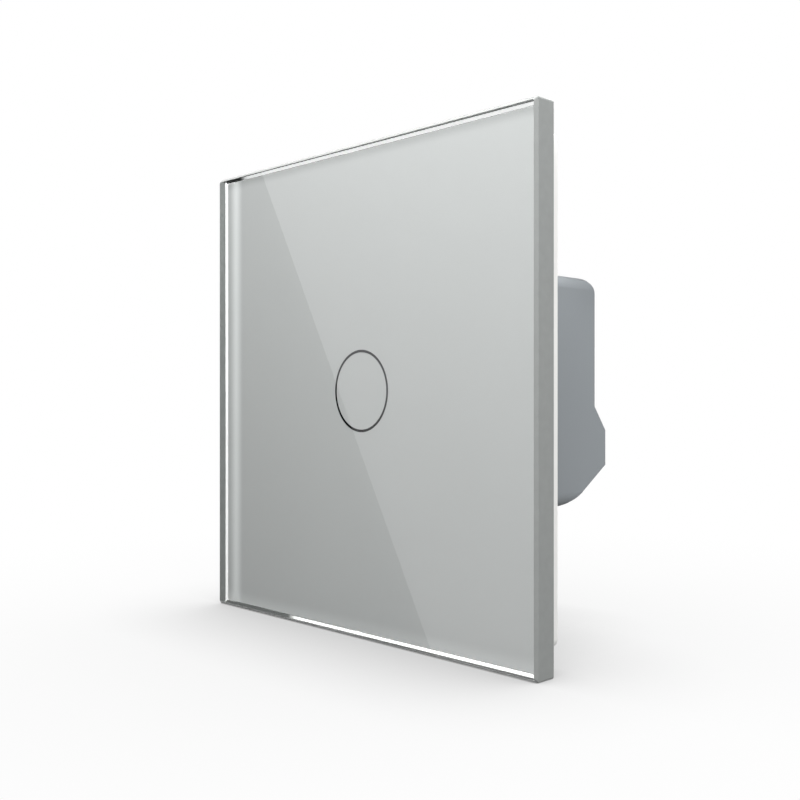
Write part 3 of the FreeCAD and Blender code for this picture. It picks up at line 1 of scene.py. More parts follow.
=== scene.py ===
"""Looks of the wall touch dimmer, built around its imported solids.

Metres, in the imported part's own frame: +X right, +Y into the wall, +Z up. The glass faces -Y.
"""
import json
import math

import bmesh
import bpy
from mathutils import Matrix, Vector


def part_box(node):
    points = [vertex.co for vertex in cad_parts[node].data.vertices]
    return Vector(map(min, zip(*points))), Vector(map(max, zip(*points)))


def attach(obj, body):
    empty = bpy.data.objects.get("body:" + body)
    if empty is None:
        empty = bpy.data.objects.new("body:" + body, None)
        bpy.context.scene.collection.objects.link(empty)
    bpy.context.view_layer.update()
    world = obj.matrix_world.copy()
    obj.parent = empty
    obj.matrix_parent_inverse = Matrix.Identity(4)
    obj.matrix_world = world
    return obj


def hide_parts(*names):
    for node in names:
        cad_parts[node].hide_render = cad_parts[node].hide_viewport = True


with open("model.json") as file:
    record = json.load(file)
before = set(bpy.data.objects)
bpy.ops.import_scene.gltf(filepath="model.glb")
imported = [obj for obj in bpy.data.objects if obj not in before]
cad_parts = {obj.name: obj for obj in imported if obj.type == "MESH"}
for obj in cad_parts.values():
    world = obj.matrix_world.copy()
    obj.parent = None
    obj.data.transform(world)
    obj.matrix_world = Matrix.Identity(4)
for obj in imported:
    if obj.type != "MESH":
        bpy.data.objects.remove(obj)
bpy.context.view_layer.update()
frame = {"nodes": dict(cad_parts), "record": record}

bl_info = {
    "name": "Touch dimmer looks",
    "version": (1, 0, 0),
    "blender": (4, 5, 0),
    "location": "3D View > Sidebar > Dimmer",
    "description": "Dresses the packed touch dimmer with its coat, mark, finishes and studio",
    "category": "Object",
}

MM = 0.001
MERGE = 0.0005 * MM
WELD = 0.0001 * MM
STEP = 0.02 * MM
FLAT = math.radians(0.6)
SHARP = math.radians(50.0)
SMOOTH = math.radians(38.0)
BLACK, WHITE = (0.0, 0.0, 0.0), (1.0, 1.0, 1.0)
CARD_COLOUR, MATT_FLOOR = (0.02, 0.02, 0.02), (0.12, 0.12, 0.12)
GLASS_LOW, GLASS_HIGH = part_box("glass_panel")
COAT_LOW, COAT_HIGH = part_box("back_print")
RING_LOW, RING_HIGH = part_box("touch_ring")
FUSE_LOW, FUSE_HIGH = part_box("fuse")
CAN_LOW, CAN_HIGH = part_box("electrolytic_capacitor")
WINDING_LOW, WINDING_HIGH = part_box("choke_winding")
SPRING_LOW, SPRING_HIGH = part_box("touch_spring")
SPRING_TURNS = 3
COAT_CORNER = 0.45 * MM
RING_LINE = 0.42 * MM
MOULDED = ("panel_frame", "base_frame", "rear_housing",
           "terminal_block_1", "terminal_block_2", "terminal_block_3")
CUT = ("mounting_plate", "heat_sink")
# Each lamp's place, what it is aimed at, and its size.
KEY_LAMP = ((0.07, -0.13, 0.24), (0.0, 0.0, 0.0), 0.12)
FILL_LAMP = ((0.285, 0.08, 0.165), (0.0, 0.01, 0.0), 0.2)
BACK_LAMP = ((-0.22, 0.4, 0.06), (0.0, 0.03, 0.0), 0.3)
CAMERA_PLACE, CAMERA_TURN = (0.1306, -0.1115, -0.0011), math.radians(42.86)
LENS, SENSOR, SHIFT_ACROSS, SHIFT_UP, NEAREST = 45.6, 36.0, -0.1344, -0.0029, 0.005
FLOOR_HALF = 8.0
GLASS_IOR, CLEAR_PLASTIC_IOR = 1.52, 1.58
# The flag stands over the glass and keeps the key lamp off the housing.
FLAG_CORNERS = ((-0.08, 0.004, 0.042), (0.042, 0.004, 0.042), (0.042, 0.004, 0.12), (-0.08, 0.004, 0.12))
# The card's right edge is what the glass mirrors as a slanting line from its upper left to its foot.
CARD_CORNERS = ((-0.735, -0.4, 0.398), (-0.28, -0.4, -0.4), (-2.0, -0.4, -0.4), (-2.0, -0.4, 0.398))
BODY_OF = {node: body for body, nodes in frame["record"]["behaviour"]["bodies"].items() for node in nodes}
SLOT_OF = {row["node"]: row["material_slot"] for row in frame["record"]["subparts"]}


# Shader sums

class Wire:
    """A shader socket that takes part in sums: each operator adds the Math node it needs."""

    def __init__(self, finish, socket):
        self.finish = finish
        self.socket = socket

    def math(self, operation, *values):
        inputs = dict(enumerate(values))
        return self.finish.node("ShaderNodeMath", {"operation": operation}, inputs)

    def __add__(self, other):
        return self.math("ADD", self, other)

    def __sub__(self, other):
        return self.math("SUBTRACT", self, other)

    def __mul__(self, other):
        return self.math("MULTIPLY", self, other)

    def __truediv__(self, other):
        return self.math("DIVIDE", self, other)

    def __radd__(self, other):
        return self.math("ADD", other, self)

    def __rsub__(self, other):
        return self.math("SUBTRACT", other, self)

    def __rmul__(self, other):
        return self.math("MULTIPLY", other, self)

    def __rtruediv__(self, other):
        return self.math("DIVIDE", other, self)

    def __abs__(self):
        return self.math("ABSOLUTE", self)

    def larger(self, other):
        return self.math("MAXIMUM", self, other)

    def ease(self, low, high):
        """0 below low, 1 above high, with a soft step between."""
        settings = {"interpolation_type": "SMOOTHSTEP"}
        inputs = {"Value": self, "From Min": low, "From Max": high}
        return self.finish.node("ShaderNodeMapRange", settings, inputs)

    def peak(self, middle, reach):
        """1 at the middle and 0 from a reach away on, softly."""
        return 1 - abs(self - middle).ease(0.0, reach)


class Finish:
    """The node tree of one material, or of the world that is given to it."""

    def __init__(self, name, world=None):
        self.owner = world or bpy.data.materials.new(name)
        self.owner.use_nodes = True
        self.tree = self.owner.node_tree
        self.tree.nodes.clear()

    def node(self, kind, settings=None, inputs=None, output=0):
        """A node by its type. Settings are set first, then the values or links of its sockets."""
        made = self.tree.nodes.new(kind)
        for name, value in (settings or {}).items():
            setattr(made, name, value)
        for name, value in (inputs or {}).items():
            socket = made.inputs[name]
            if isinstance(value, Wire):
                self.tree.links.new(value.socket, socket)
            else:
                socket.default_value = (*value, 1.0) if socket.type == "RGBA" else value
        return Wire(self, made.outputs[output]) if made.outputs else None

    def place(self, scale=(1.0, 1.0, 1.0)):
        """Object coordinates, stretched."""
        here = self.node("ShaderNodeTexCoord", output="Object")
        return self.node("ShaderNodeMapping", None, {"Vector": here, "Scale": scale})

    def axes(self):
        """X, Y and Z of a point, in metres."""
        here = self.node("ShaderNodeTexCoord", output="Object")
        parts = self.node("ShaderNodeSeparateXYZ", None, {"Vector": here})
        return [Wire(self, output) for output in parts.socket.node.outputs]

    def ray(self, name):
        """1 for rays of one kind."""
        return self.node("ShaderNodeLightPath", output=f"Is {name} Ray")

    def noise(self, scale, detail=2.0, roughness=0.5, where=None):
        return self.node("ShaderNodeTexNoise", None, {
            "Vector": where or self.place(), "Scale": scale, "Detail": detail, "Roughness": roughness})

    def mix(self, factor, first, second):
        """One colour over another by a factor. The Mix node's colours are its sockets 6 and 7."""
        return self.node("ShaderNodeMix", {"data_type": "RGBA"}, {0: factor, 6: first, 7: second}, 2)

    def shade(self, colour, factor):
        """A plain colour times a factor that varies over the surface."""
        dark = tuple(part * 0.5 for part in colour)
        light = tuple(part * 1.5 for part in colour)
        return self.mix(factor - 0.5, dark, light)

    def bump(self, height, distance):
        """A normal from a height map that rises by a distance in metres."""
        return self.node("ShaderNodeBump", None, {"Height": height, "Distance": distance, "Strength": 1.0})

    def solid(self, **inputs):
        """A Principled shader. An underscore stands for a space in a socket's name."""
        named = {name.replace("_", " "): value for name, value in inputs.items()}
        return self.node("ShaderNodeBsdfPrincipled", None, named)

    def blend(self, factor, first, second):
        """One shader over another by a factor."""
        return self.node("ShaderNodeMixShader", None, {0: factor, 1: first, 2: second})

    def glow(self, colour):
        """A surface that shows a colour by itself."""
        return self.node("ShaderNodeEmission", None, {"Color": colour, "Strength": 1.0})

    def out(self, shader, kind="ShaderNodeOutputMaterial"):
        self.node(kind, None, {"Surface": shader})
        return self.owner


def mottle(finish, coarse, fine, amount):
    """A factor about 1 with a coarse and a fine drift, as in any real colour."""
    drift = finish.noise(coarse, 2.0) * 0.6 + finish.noise(fine, 3.0) * 0.4
    return 1.0 + (drift - 0.5) * amount


def moulded(name, colour, grain, relief, roughness, drift, shine=0.4):
    """Moulded plastic with an eroded grain."""
    finish = Finish(name)
    pits = finish.noise(1.0 / grain, 3.0, 0.6)
    fine = finish.noise(3.1 / grain, 2.0, 0.5)
    height = pits * 0.7 + fine * 0.3
    rub = finish.noise(90.0, 3.0, 0.6)
    return finish.out(finish.solid(
        Base_Color=finish.shade(colour, mottle(finish, 60.0, 1.0 / grain, drift)),
        Roughness=roughness - 0.05 + rub * 0.1 + (pits - 0.5) * 0.1, Specular_IOR_Level=shine,
        Normal=finish.bump(height, relief)))


def plated(name, colour, roughness, along=(1.0, 1.0, 1.0)):
    """Zinc-plated or rolled metal with fine drawing lines and a faint cloudiness."""
    finish = Finish(name)
    lines = finish.noise(9000.0, 2.0, 0.6, finish.place(scale=along))
    cloud = finish.noise(260.0, 3.0, 0.6)
    return finish.out(finish.solid(
        Base_Color=finish.shade(colour, 1.0 + (cloud - 0.5) * 0.16 + (lines - 0.5) * 0.1),
        Metallic=1.0,
        Roughness=roughness + (cloud - 0.5) * 0.18 + (lines - 0.5) * 0.12,
        Normal=finish.bump(lines * 0.6 + cloud * 0.4, 0.004 * MM)))


def clear_shader(finish, tint, ior, cloud=0.0):
    """What the eye sees of a clear solid."""
    veil = finish.noise(140.0, 3.0)
    return finish.solid(
        Base_Color=finish.shade(tint, 1.0 + (veil - 0.5) * 0.02),
        Roughness=cloud + veil * 0.01, IOR=ior, Transmission_Weight=1.0)


def let_light_through(finish, shader, tint):
    """Lamps and diffuse light go straight through a clear solid."""
    through = finish.node("ShaderNodeBsdfTransparent", None, {"Color": tint})
    return finish.blend(finish.ray("Shadow").larger(finish.ray("Diffuse")), shader, through)


def clear(name, tint, ior, cloud):
    finish = Finish(name)
    return finish.out(let_light_through(finish, clear_shader(finish, tint, ior, cloud), tint))


def panel_glass_finish(name, look):
    """Clear glass with fine-ground edges. The back bevel is painted white with a painted glow, stronger at
    its head, apart from one stretch painted dark.
    """
    soft = 0.1 * MM
    painted_side_glint, painted_head_glint = 0.05, 0.25
    painted_glow_foot, painted_glow_head = (0.3, 0.3, 0.3), (0.7, 0.7, 0.7)
    finish = Finish(name)
    tint = tuple(look.glass_tint)
    glassy = clear_shader(finish, tint, GLASS_IOR)
    x, y, z = finish.axes()
    rim = abs(x).larger(abs(z)).ease(look.ground_from, look.ground_from + STEP)
    upright = (abs(x) - abs(z)).ease(-soft, soft)
    # Painted shade stretch: towards the left, the level back bevels stop glowing.
    painted_glow_from = (x + z * look.painted_shade_slant).ease(look.painted_shade_to - look.painted_shade_fade, look.painted_shade_to + look.painted_shade_fade)
    bevel_from = GLASS_HIGH.y - look.back_bevel
    bevel = y.ease(bevel_from, bevel_from + STEP)
    # Painted glow: the back bevel shows white and glows down its sides, and on the level bevels outside the
    # painted shade stretch.
    painted_glow_mask = bevel * upright.larger(painted_glow_from)
    front_to = GLASS_LOW.y + look.front_bevel
    front = 1.0 - y.ease(front_to, front_to + STEP)
    upper = z.ease(-soft, soft)
    # The front bevel gets a painted highlight: pale at its foot, faint at its head and nearly none down its
    # sides.
    painted_glint = upright * painted_side_glint + (1.0 - upright) * (1.0 - upper * (1.0 - painted_head_glint))
    painted_light_mask = painted_glow_mask.larger(front * painted_glint)
    grind = finish.noise(9000.0, 3.0, 0.7)
    streak = finish.noise(700.0, 2.0)
    side = finish.shade(tuple(look.edge_colour), 0.85 + grind * 0.15 + streak * 0.15)
    # Painted shade: where the back bevel does not glow, it takes the ground edge colour darkened.
    ground_side_and_painted_shade = finish.mix(bevel, side, tuple(part * 0.4 for part in look.edge_colour))
    # White of the painted glow and the painted highlight.
    white = finish.shade((0.88, 0.89, 0.88), 0.95 + grind * 0.1)
    # The painted glow is stronger at the head than at the foot.
    painted_glow_level = finish.mix(upper, painted_glow_foot, painted_glow_head)
    ground = finish.solid(
        Base_Color=finish.mix(painted_light_mask, ground_side_and_painted_shade, white), Roughness=0.5 + grind * 0.2, Specular_IOR_Level=0.2,
        Emission_Color=finish.mix(painted_glow_mask, BLACK, painted_glow_level), Emission_Strength=1.0,
        Normal=finish.bump(grind, 0.004 * MM))
    return finish.out(let_light_through(finish, finish.blend(rim, glassy, ground), tint))


def coat_finish(name, look):
    """Baked ink seen through the glass, with its fine grain, a painted light band inside the left edge,
    painted shade at its head and painted light at its foot.
    """
    finish = Finish(name)
    x, y, z = finish.axes()
    printed = 1.0 - y.ease(COAT_LOW.y, COAT_HIGH.y)
    from_left = x - COAT_LOW.x
    painted_light_band = from_left.peak(look.band_place, look.band_reach)
    grain = finish.noise(5200.0, 2.0)
    cloud = finish.noise(28.0, 2.0)
    painted_head_shade = z.ease(COAT_HIGH.z - look.rim_reach, COAT_HIGH.z)
    painted_foot_light = 1.0 - z.ease(COAT_LOW.z, COAT_LOW.z + look.foot_reach)
    plain = 1.0 + (grain - 0.5) * 0.03 + (cloud - 0.5) * 0.03
    # Painted light and painted shade: lighter in the band and at the foot, darker at the head.
    light = painted_light_band * look.band_strength + painted_foot_light * look.foot_light - painted_head_shade * look.rim_shade
    return finish.out(finish.solid(
        Base_Color=finish.shade(tuple(look.coat_colour), plain + light * printed),
        Roughness=0.9 + (grain - 0.5) * 0.1, Specular_IOR_Level=0.0,
        Normal=finish.bump(grain, 0.002 * MM)))


def ink_finish(name, colour):
    """Dark ink of the touch mark, with a painted highlight that makes it lighter towards its upper right."""
    painted_dark_to, painted_light_from = -5.0 * MM, 7.0 * MM
    finish = Finish(name)
    x, _, z = finish.axes()
    # Painted highlight: the ink is lighter towards the upper right.
    painted_highlight = (x * 0.6 + z).ease(painted_dark_to, painted_light_from)
    speck = finish.noise(4000.0, 2.0)
    dark = finish.shade(colour, 0.8 + speck * 0.4)
    light = tuple(part * 5.0 for part in colour)
    return finish.out(finish.solid(
        Base_Color=finish.mix(painted_highlight, dark, light), Roughness=0.8 + speck * 0.1, Specular_IOR_Level=0.0,
        Normal=finish.bump(speck, 0.002 * MM)))


def tape_finish(name, colour):
    """White foam tape with closed cells."""
    finish = Finish(name)
    cells = finish.node("ShaderNodeTexVoronoi", None, {"Vector": finish.place(), "Scale": 3500.0})
    return finish.out(finish.solid(
        Base_Color=finish.shade(colour, 0.93 + cells * 0.14), Roughness=0.75 + cells * 0.1,
        Normal=finish.bump(cells, 0.03 * MM)))


def board_finish(name, colour):
    """Green lacquer over copper tracks, with the weave of the glass fibre under it."""
    finish = Finish(name)
    tracks = finish.node("ShaderNodeTexVoronoi", {"distance": "CHEBYCHEV", "feature": "F1"},
                         {"Vector": finish.place(), "Scale": 420.0})
    copper = tracks.ease(0.30, 0.34) - tracks.ease(0.52, 0.56)
    weave_x, weave_z = (
        finish.node("ShaderNodeTexWave", {"bands_direction": way}, {"Vector": finish.place(), "Scale": 900.0})
        for way in ("X", "Z"))
    weave = weave_x * weave_z
    over_copper = tuple(part * 1.9 for part in colour)
    return finish.out(finish.solid(
        Base_Color=finish.mix(copper, finish.shade(colour, 0.9 + weave * 0.2), over_copper),
        Roughness=0.3 + weave * 0.08, Coat_Weight=0.3 - copper * 0.1,
        Normal=finish.bump(copper * 0.8 + weave * 0.2, 0.04 * MM)))


def resin_finish(name, colour, roughness=0.5):
    """Black moulding resin of chips and connectors, with its filler showing faintly."""
    finish = Finish(name)
    filler = finish.noise(7000.0, 3.0, 0.7)
    return finish.out(finish.solid(
        Base_Color=finish.shade(colour, 0.75 + filler * 0.5), Roughness=roughness + (filler - 0.5) * 0.2,
        Normal=finish.bump(filler, 0.008 * MM)))


def lamp_finish(name, colour):
    """A small lamp's resin lens over its chip."""
    finish = Finish(name)
    haze = finish.noise(3000.0, 2.0)
    return finish.out(finish.solid(
        Base_Color=finish.shade(colour, 0.9 + haze * 0.2), Roughness=0.12 + haze * 0.1, IOR=1.54,
        Coat_Weight=0.5 + haze * 0.2, Normal=finish.bump(haze, 0.003 * MM)))


def ferrite_finish(name, colour):
    """Pressed and sintered ferrite."""
    finish = Finish(name)
    pores = finish.node("ShaderNodeTexVoronoi", None, {"Vector": finish.place(), "Scale": 5000.0})
    cloud = finish.noise(300.0, 3.0)
    return finish.out(finish.solid(
        Base_Color=finish.shade(colour, 0.8 + cloud * 0.4), Roughness=0.55 + pores * 0.2,
        Normal=finish.bump(pores, 0.01 * MM)))


def winding_finish(name, colour):
    """Lacquered copper wire wound turn beside turn."""
    finish = Finish(name)
    _, y, _ = finish.axes()
    drawn = finish.noise(6000.0, 2.0)
    sheen = finish.noise(500.0, 2.0)
    depth = (y - WINDING_LOW.y) / (WINDING_HIGH.y - WINDING_LOW.y)
    return finish.out(finish.solid(
        Base_Color=finish.shade(colour, 0.8 + drawn * 0.15 + sheen * 0.2 + depth * 0.05), Metallic=1.0,
        Roughness=0.26 + sheen * 0.12, Coat_Weight=0.4 + sheen * 0.1,
        Normal=finish.bump(drawn, 0.002 * MM)))


def dipped_finish(name, colour):
    """A dipped or moulded glossy coat with slow waves and a few pin marks."""
    finish = Finish(name)
    waves = finish.noise(420.0, 3.0, 0.5)
    pins = finish.noise(3000.0, 2.0)
    return finish.out(finish.solid(
        Base_Color=finish.shade(colour, 0.88 + waves * 0.24), Roughness=0.25 + (waves - 0.5) * 0.12,
        Coat_Weight=0.3 + pins * 0.1, Normal=finish.bump(waves * 0.8 + pins * 0.2, 0.06 * MM)))


def can_finish(name, colour):
    """A shrunk sleeve with one plain light stripe, and the bare aluminium top of the can."""
    finish = Finish(name)
    x, y, z = finish.axes()
    middle = (CAN_LOW + CAN_HIGH) / 2
    soft, stripe_from, top_from = 0.1 * MM, 1.1 * MM, CAN_HIGH.y - 0.2 * MM
    stripe = abs(x - middle.x).ease(stripe_from, stripe_from + soft) * (z - middle.z).ease(-2 * soft, 0.0)
    top = y.ease(top_from, top_from + soft)
    wrap = finish.noise(600.0, 3.0)
    sleeve = finish.mix(stripe, finish.shade(colour, 0.85 + wrap * 0.3), (0.55, 0.56, 0.58))
    return finish.out(finish.solid(
        Base_Color=finish.mix(top, sleeve, (0.72, 0.73, 0.74)), Metallic=top, Roughness=0.34 + wrap * 0.08,
        Normal=finish.bump(wrap, 0.02 * MM)))


def fuse_finish(name, colour):
    """A ceramic tube between nickel caps."""
    finish = Finish(name)
    x, _, _ = finish.axes()
    middle = (FUSE_LOW.x + FUSE_HIGH.x) / 2
    cap_from, soft = 2.25 * MM, 0.07 * MM
    cap = abs(x - middle).ease(cap_from, cap_from + soft)
    speck = finish.noise(2500.0, 3.0)
    return finish.out(finish.solid(
        Base_Color=finish.mix(cap, finish.shade(colour, 0.92 + speck * 0.16), (0.66, 0.65, 0.62)),
        Metallic=cap, Roughness=0.5 - cap * 0.22 + (speck - 0.5) * 0.1, Normal=finish.bump(speck, 0.01 * MM)))


# Finishes by material slot

def make_finishes(look):
    """Make every material, under the name of the slot that it belongs to."""
    white = tuple(look.white_colour)
    grey = tuple(look.housing_colour)
    for slot, make, *values in (
            ("panel_glass", panel_glass_finish, look),
            ("grey_coat", coat_finish, look),
            ("mark_ink", ink_finish, (0.012, 0.012, 0.013)),
            ("tape", tape_finish, (0.8, 0.8, 0.78)),
            ("white_plastic", moulded, white, 0.4 * MM, 0.006 * MM, 0.38, 0.03),
            ("housing_plastic", moulded, grey, 0.32 * MM, 0.02 * MM, 0.55, 0.07, 0.2),
            ("clear_plastic", clear, (0.93, 0.95, 0.96), CLEAR_PLASTIC_IOR, 0.04),
            ("plate_steel", plated, (0.62, 0.63, 0.64), 0.33, (0.12, 1.0, 1.0)),
            ("screw_steel", plated, (0.68, 0.68, 0.67), 0.26),
            ("spring_steel", plated, (0.66, 0.66, 0.66), 0.22),
            ("cage_steel", plated, (0.64, 0.65, 0.66), 0.3, (1.0, 0.15, 1.0)),
            ("board", board_finish, (0.02, 0.11, 0.05)),
            ("chip_black", resin_finish, (0.02, 0.02, 0.021)),
            ("lamp_blue", lamp_finish, (0.72, 0.78, 0.85)),
            ("lamp_red", lamp_finish, (0.8, 0.55, 0.5)),
            ("connector_black", resin_finish, (0.02, 0.02, 0.02), 0.45),
            ("thermal_sheet", resin_finish, (0.3, 0.33, 0.37), 0.65),
            ("sink_aluminium", plated, (0.77, 0.78, 0.79), 0.36, (1.0, 1.0, 0.1)),
            ("ferrite", ferrite_finish, (0.05, 0.05, 0.052)),
            ("copper_wire", winding_finish, (0.75, 0.34, 0.17)),
            ("film_case", dipped_finish, (0.62, 0.42, 0.05)),
            ("can_sleeve", can_finish, (0.015, 0.02, 0.05)),
            ("fuse_ceramic", fuse_finish, (0.72, 0.69, 0.6)),
            ("varistor_coat", dipped_finish, (0.02, 0.07, 0.3)),
            ("terminal_plastic", moulded, (0.14, 0.15, 0.157), 0.28 * MM, 0.012 * MM, 0.42, 0.06),
            ("contact_brass", plated, (0.78, 0.6, 0.28), 0.25, (1.0, 0.2, 1.0))):
        make(slot, *values)


def wear(piece, slot):
    """Give a piece the finish of a material slot."""
    piece.data.materials.clear()
    piece.data.materials.append(bpy.data.materials[slot])


# Meshes

def new_piece(name, mesh_work, slot, body, node):
    """An object from a bmesh. It rides on a body and stands for a CAD node."""
    mesh = bpy.data.meshes.new(name)
    mesh_work.to_mesh(mesh)
    mesh_work.free()
    piece = bpy.data.objects.new(name, mesh)
    bpy.context.scene.collection.objects.link(piece)
    wear(piece, slot)
    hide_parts(node)
    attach(piece, body)
    return piece


def box_between(low, high):
    """A plain box between two corners."""
    made = bmesh.new()
    bmesh.ops.create_cube(made, size=1.0)
    bmesh.ops.scale(made, vec=Vector(high) - Vector(low), verts=made.verts)
    bmesh.ops.translate(made, vec=(Vector(high) + Vector(low)) / 2, verts=made.verts)
    return made


def turned_by(edge, axis):
    """How far an edge runs along an axis, to a thousandth of a millimetre."""
    first, second = (getattr(vert.co, axis) for vert in edge.verts)
    return round((second - first) / MM, 3)


def slab(low, high, corner):
    """A plate between two corners, with its edges along Y rounded."""
    made = box_between(low, high)
    upright = [e for e in made.edges if turned_by(e, "x") == turned_by(e, "z") == 0.0]
    bmesh.ops.bevel(made, geom=upright, offset=corner, segments=6, profile=0.5, affect="EDGES", material=-1)
    bmesh.ops.recalc_face_normals(made, faces=made.faces)
    return made


def turned(profile):
    """A closed (radius, y) profile spun round the Y axis."""
    made = bmesh.new()
    verts = [made.verts.new((radius, y, 0.0)) for radius, y in profile]
    edges = [made.edges.new((a, b)) for a, b in zip(verts, verts[1:] + verts[:1])]
    bmesh.ops.spin(made, geom=verts + edges, cent=(0.0, 0.0, 0.0), axis=(0.0, 1.0, 0.0),
                   angle=math.tau, steps=96, use_merge=True)
    bmesh.ops.remove_doubles(made, verts=made.verts, dist=WELD)
    bmesh.ops.recalc_face_normals(made, faces=made.faces)
    return made


def softened(node, width, segments=2):
    """A copy of a CAD piece with its sharp edges rounded. Holes keep their facets."""
    made = bmesh.new()
    made.from_mesh(frame["nodes"][node].data)
    bmesh.ops.remove_doubles(made, verts=made.verts, dist=MERGE)
    bmesh.ops.dissolve_limit(made, angle_limit=FLAT, verts=made.verts, edges=made.edges)
    bmesh.ops.recalc_face_normals(made, faces=made.faces)
    sharp = [e for e in made.edges
             if e.is_manifold and e.calc_face_angle() > SHARP and e.calc_length() > width]
    bmesh.ops.bevel(made, geom=sharp, offset=width, segments=segments, profile=0.5, affect="EDGES",
                    clamp_overlap=False, material=-1)
    bmesh.ops.recalc_face_normals(made, faces=made.faces)
    piece = new_piece(f"{node}_dressed", made, SLOT_OF[node], BODY_OF[node], node)
    smooth(piece)
    return piece


def smooth(piece):
    """Smooth shading over all but sharp edges, led by the larger faces."""
    piece.data.polygons.foreach_set("use_smooth", [True] * len(piece.data.polygons))
    piece.data.set_sharp_from_angle(angle=SMOOTH)
    weighted = piece.modifiers.new("even_normals", "WEIGHTED_NORMAL")
    weighted.keep_sharp = True


def coil(middle, radius, start, end, turns, thickness, steps=40, sides=10):
    """Round wire wound about the Y direction, from one depth to another, with closed ends."""
    made = bmesh.new()
    place = Matrix.Translation((middle.x + radius, start, middle.z))
    quarter_back = Matrix.Rotation(math.radians(-90.0), 4, "Z")
    bmesh.ops.create_circle(made, cap_ends=True, radius=thickness / 2, segments=sides,
                            matrix=place @ quarter_back)
    count = turns * steps
    bmesh.ops.spin(made, geom=[*made.verts, *made.edges, *made.faces], cent=(middle.x, 0.0, middle.z),
                   axis=(0.0, -1.0, 0.0), dvec=(0.0, (end - start) / count, 0.0),
                   angle=math.tau * turns, steps=count, use_merge=False)
    bmesh.ops.recalc_face_normals(made, faces=made.faces)
    return made


# What a user may change

class PanelLook(bpy.types.PropertyGroup):
    """Colours and sizes of the glass panel and its coat."""
    coat_colour: bpy.props.FloatVectorProperty(
        name="Coat", description="Colour of the ink behind the glass", subtype="COLOR", size=3,
        default=(0.592, 0.604, 0.602), min=0.0, max=1.0)
    glass_tint: bpy.props.FloatVectorProperty(
        name="Glass", description="Tint of the glass", subtype="COLOR", size=3,
        default=(0.975, 0.985, 0.98), min=0.0, max=1.0)
    white_colour: bpy.props.FloatVectorProperty(
        name="White parts", description="Colour of the carrier and base frame", subtype="COLOR", size=3,
        default=(0.88, 0.88, 0.86), min=0.0, max=1.0)
    housing_colour: bpy.props.FloatVectorProperty(
        name="Housing", description="Colour of the rear housing", subtype="COLOR", size=3,
        default=(0.27, 0.29, 0.305), min=0.0, max=1.0)
    contact: bpy.props.FloatProperty(
        name="Coat contact", description="How far the coat lies in the glass, so that no air shows between",
        default=0.03 * MM, unit="LENGTH")
    mark_contact: bpy.props.FloatProperty(
        name="Mark contact", description="How far the touch mark lies in the glass, in front of the coat",
        default=0.048 * MM, unit="LENGTH")
    # The coat's light band, its darker head rim and its lighter foot strip are painted light and painted
    # shade.
    band_place: bpy.props.FloatProperty(
        name="Light band", description="Middle of the light band from the coat's left edge",
        default=2.8 * MM, unit="LENGTH")
    band_reach: bpy.props.FloatProperty(
        name="Light band reach", description="Half width of the light band", default=2.3 * MM, unit="LENGTH")
    band_strength: bpy.props.FloatProperty(
        name="Light band strength", description="How much lighter the band is", default=0.5, min=0.0, max=0.5)
    rim_reach: bpy.props.FloatProperty(
        name="Rim reach", description="Height of the darker rim at the coat's head",
        default=1.8 * MM, unit="LENGTH")
    rim_shade: bpy.props.FloatProperty(
        name="Rim shade", description="How much darker that rim is", default=0.22, min=0.0, max=0.5)
    foot_reach: bpy.props.FloatProperty(
        name="Foot reach", description="Height of the lighter strip at the coat's foot",
        default=2.52 * MM, unit="LENGTH")
    foot_light: bpy.props.FloatProperty(
        name="Foot light", description="How much lighter that strip is", default=0.2, min=0.0, max=0.5)
    glass_corner: bpy.props.FloatProperty(
        name="Glass corner", description="Rounding of the glass plate's corners",
        default=0.25 * MM, unit="LENGTH")
    edge_colour: bpy.props.FloatVectorProperty(
        name="Ground edge", description="Colour of the glass's ground edges", subtype="COLOR", size=3,
        default=(0.27, 0.28, 0.275), min=0.0, max=1.0)
    ground_from: bpy.props.FloatProperty(
        name="Ground from", description="Where the ground edge starts, from the panel's middle",
        default=39.52 * MM, unit="LENGTH")
    front_bevel: bpy.props.FloatProperty(
        name="Front bevel", description="Width of the bevel round the glass front",
        default=0.45 * MM, unit="LENGTH")
    back_bevel: bpy.props.FloatProperty(
        name="Back bevel", description="Width of the bevel behind the glass",
        default=0.55 * MM, unit="LENGTH")
    # Where the painted shade stretch of the level back bevels ends, how it fades and how it slants.
    painted_shade_to: bpy.props.FloatProperty(
        name="Dull stretch", description="Where the dull stretch of the level bevels ends, from the middle",
        default=-26.2 * MM, unit="LENGTH")
    painted_shade_fade: bpy.props.FloatProperty(
        name="Dull fade", description="Half width of the change from dull to bright",
        default=1.5 * MM, unit="LENGTH")
    painted_shade_slant: bpy.props.FloatProperty(
        name="Dull slant", description="How much further it reaches along the lower bevel", default=0.19)
    edge_softness: bpy.props.FloatProperty(
        name="Edge softness", description="Width of the rounding on moulded and cut edges",
        default=0.12 * MM, unit="LENGTH")
    wire: bpy.props.FloatProperty(
        name="Spring wire", description="Thickness of the touch spring's wire",
        default=0.6 * MM, unit="LENGTH")
    winding_wire: bpy.props.FloatProperty(
        name="Winding wire", description="Thickness of the choke's wire", default=0.5 * MM, unit="LENGTH")


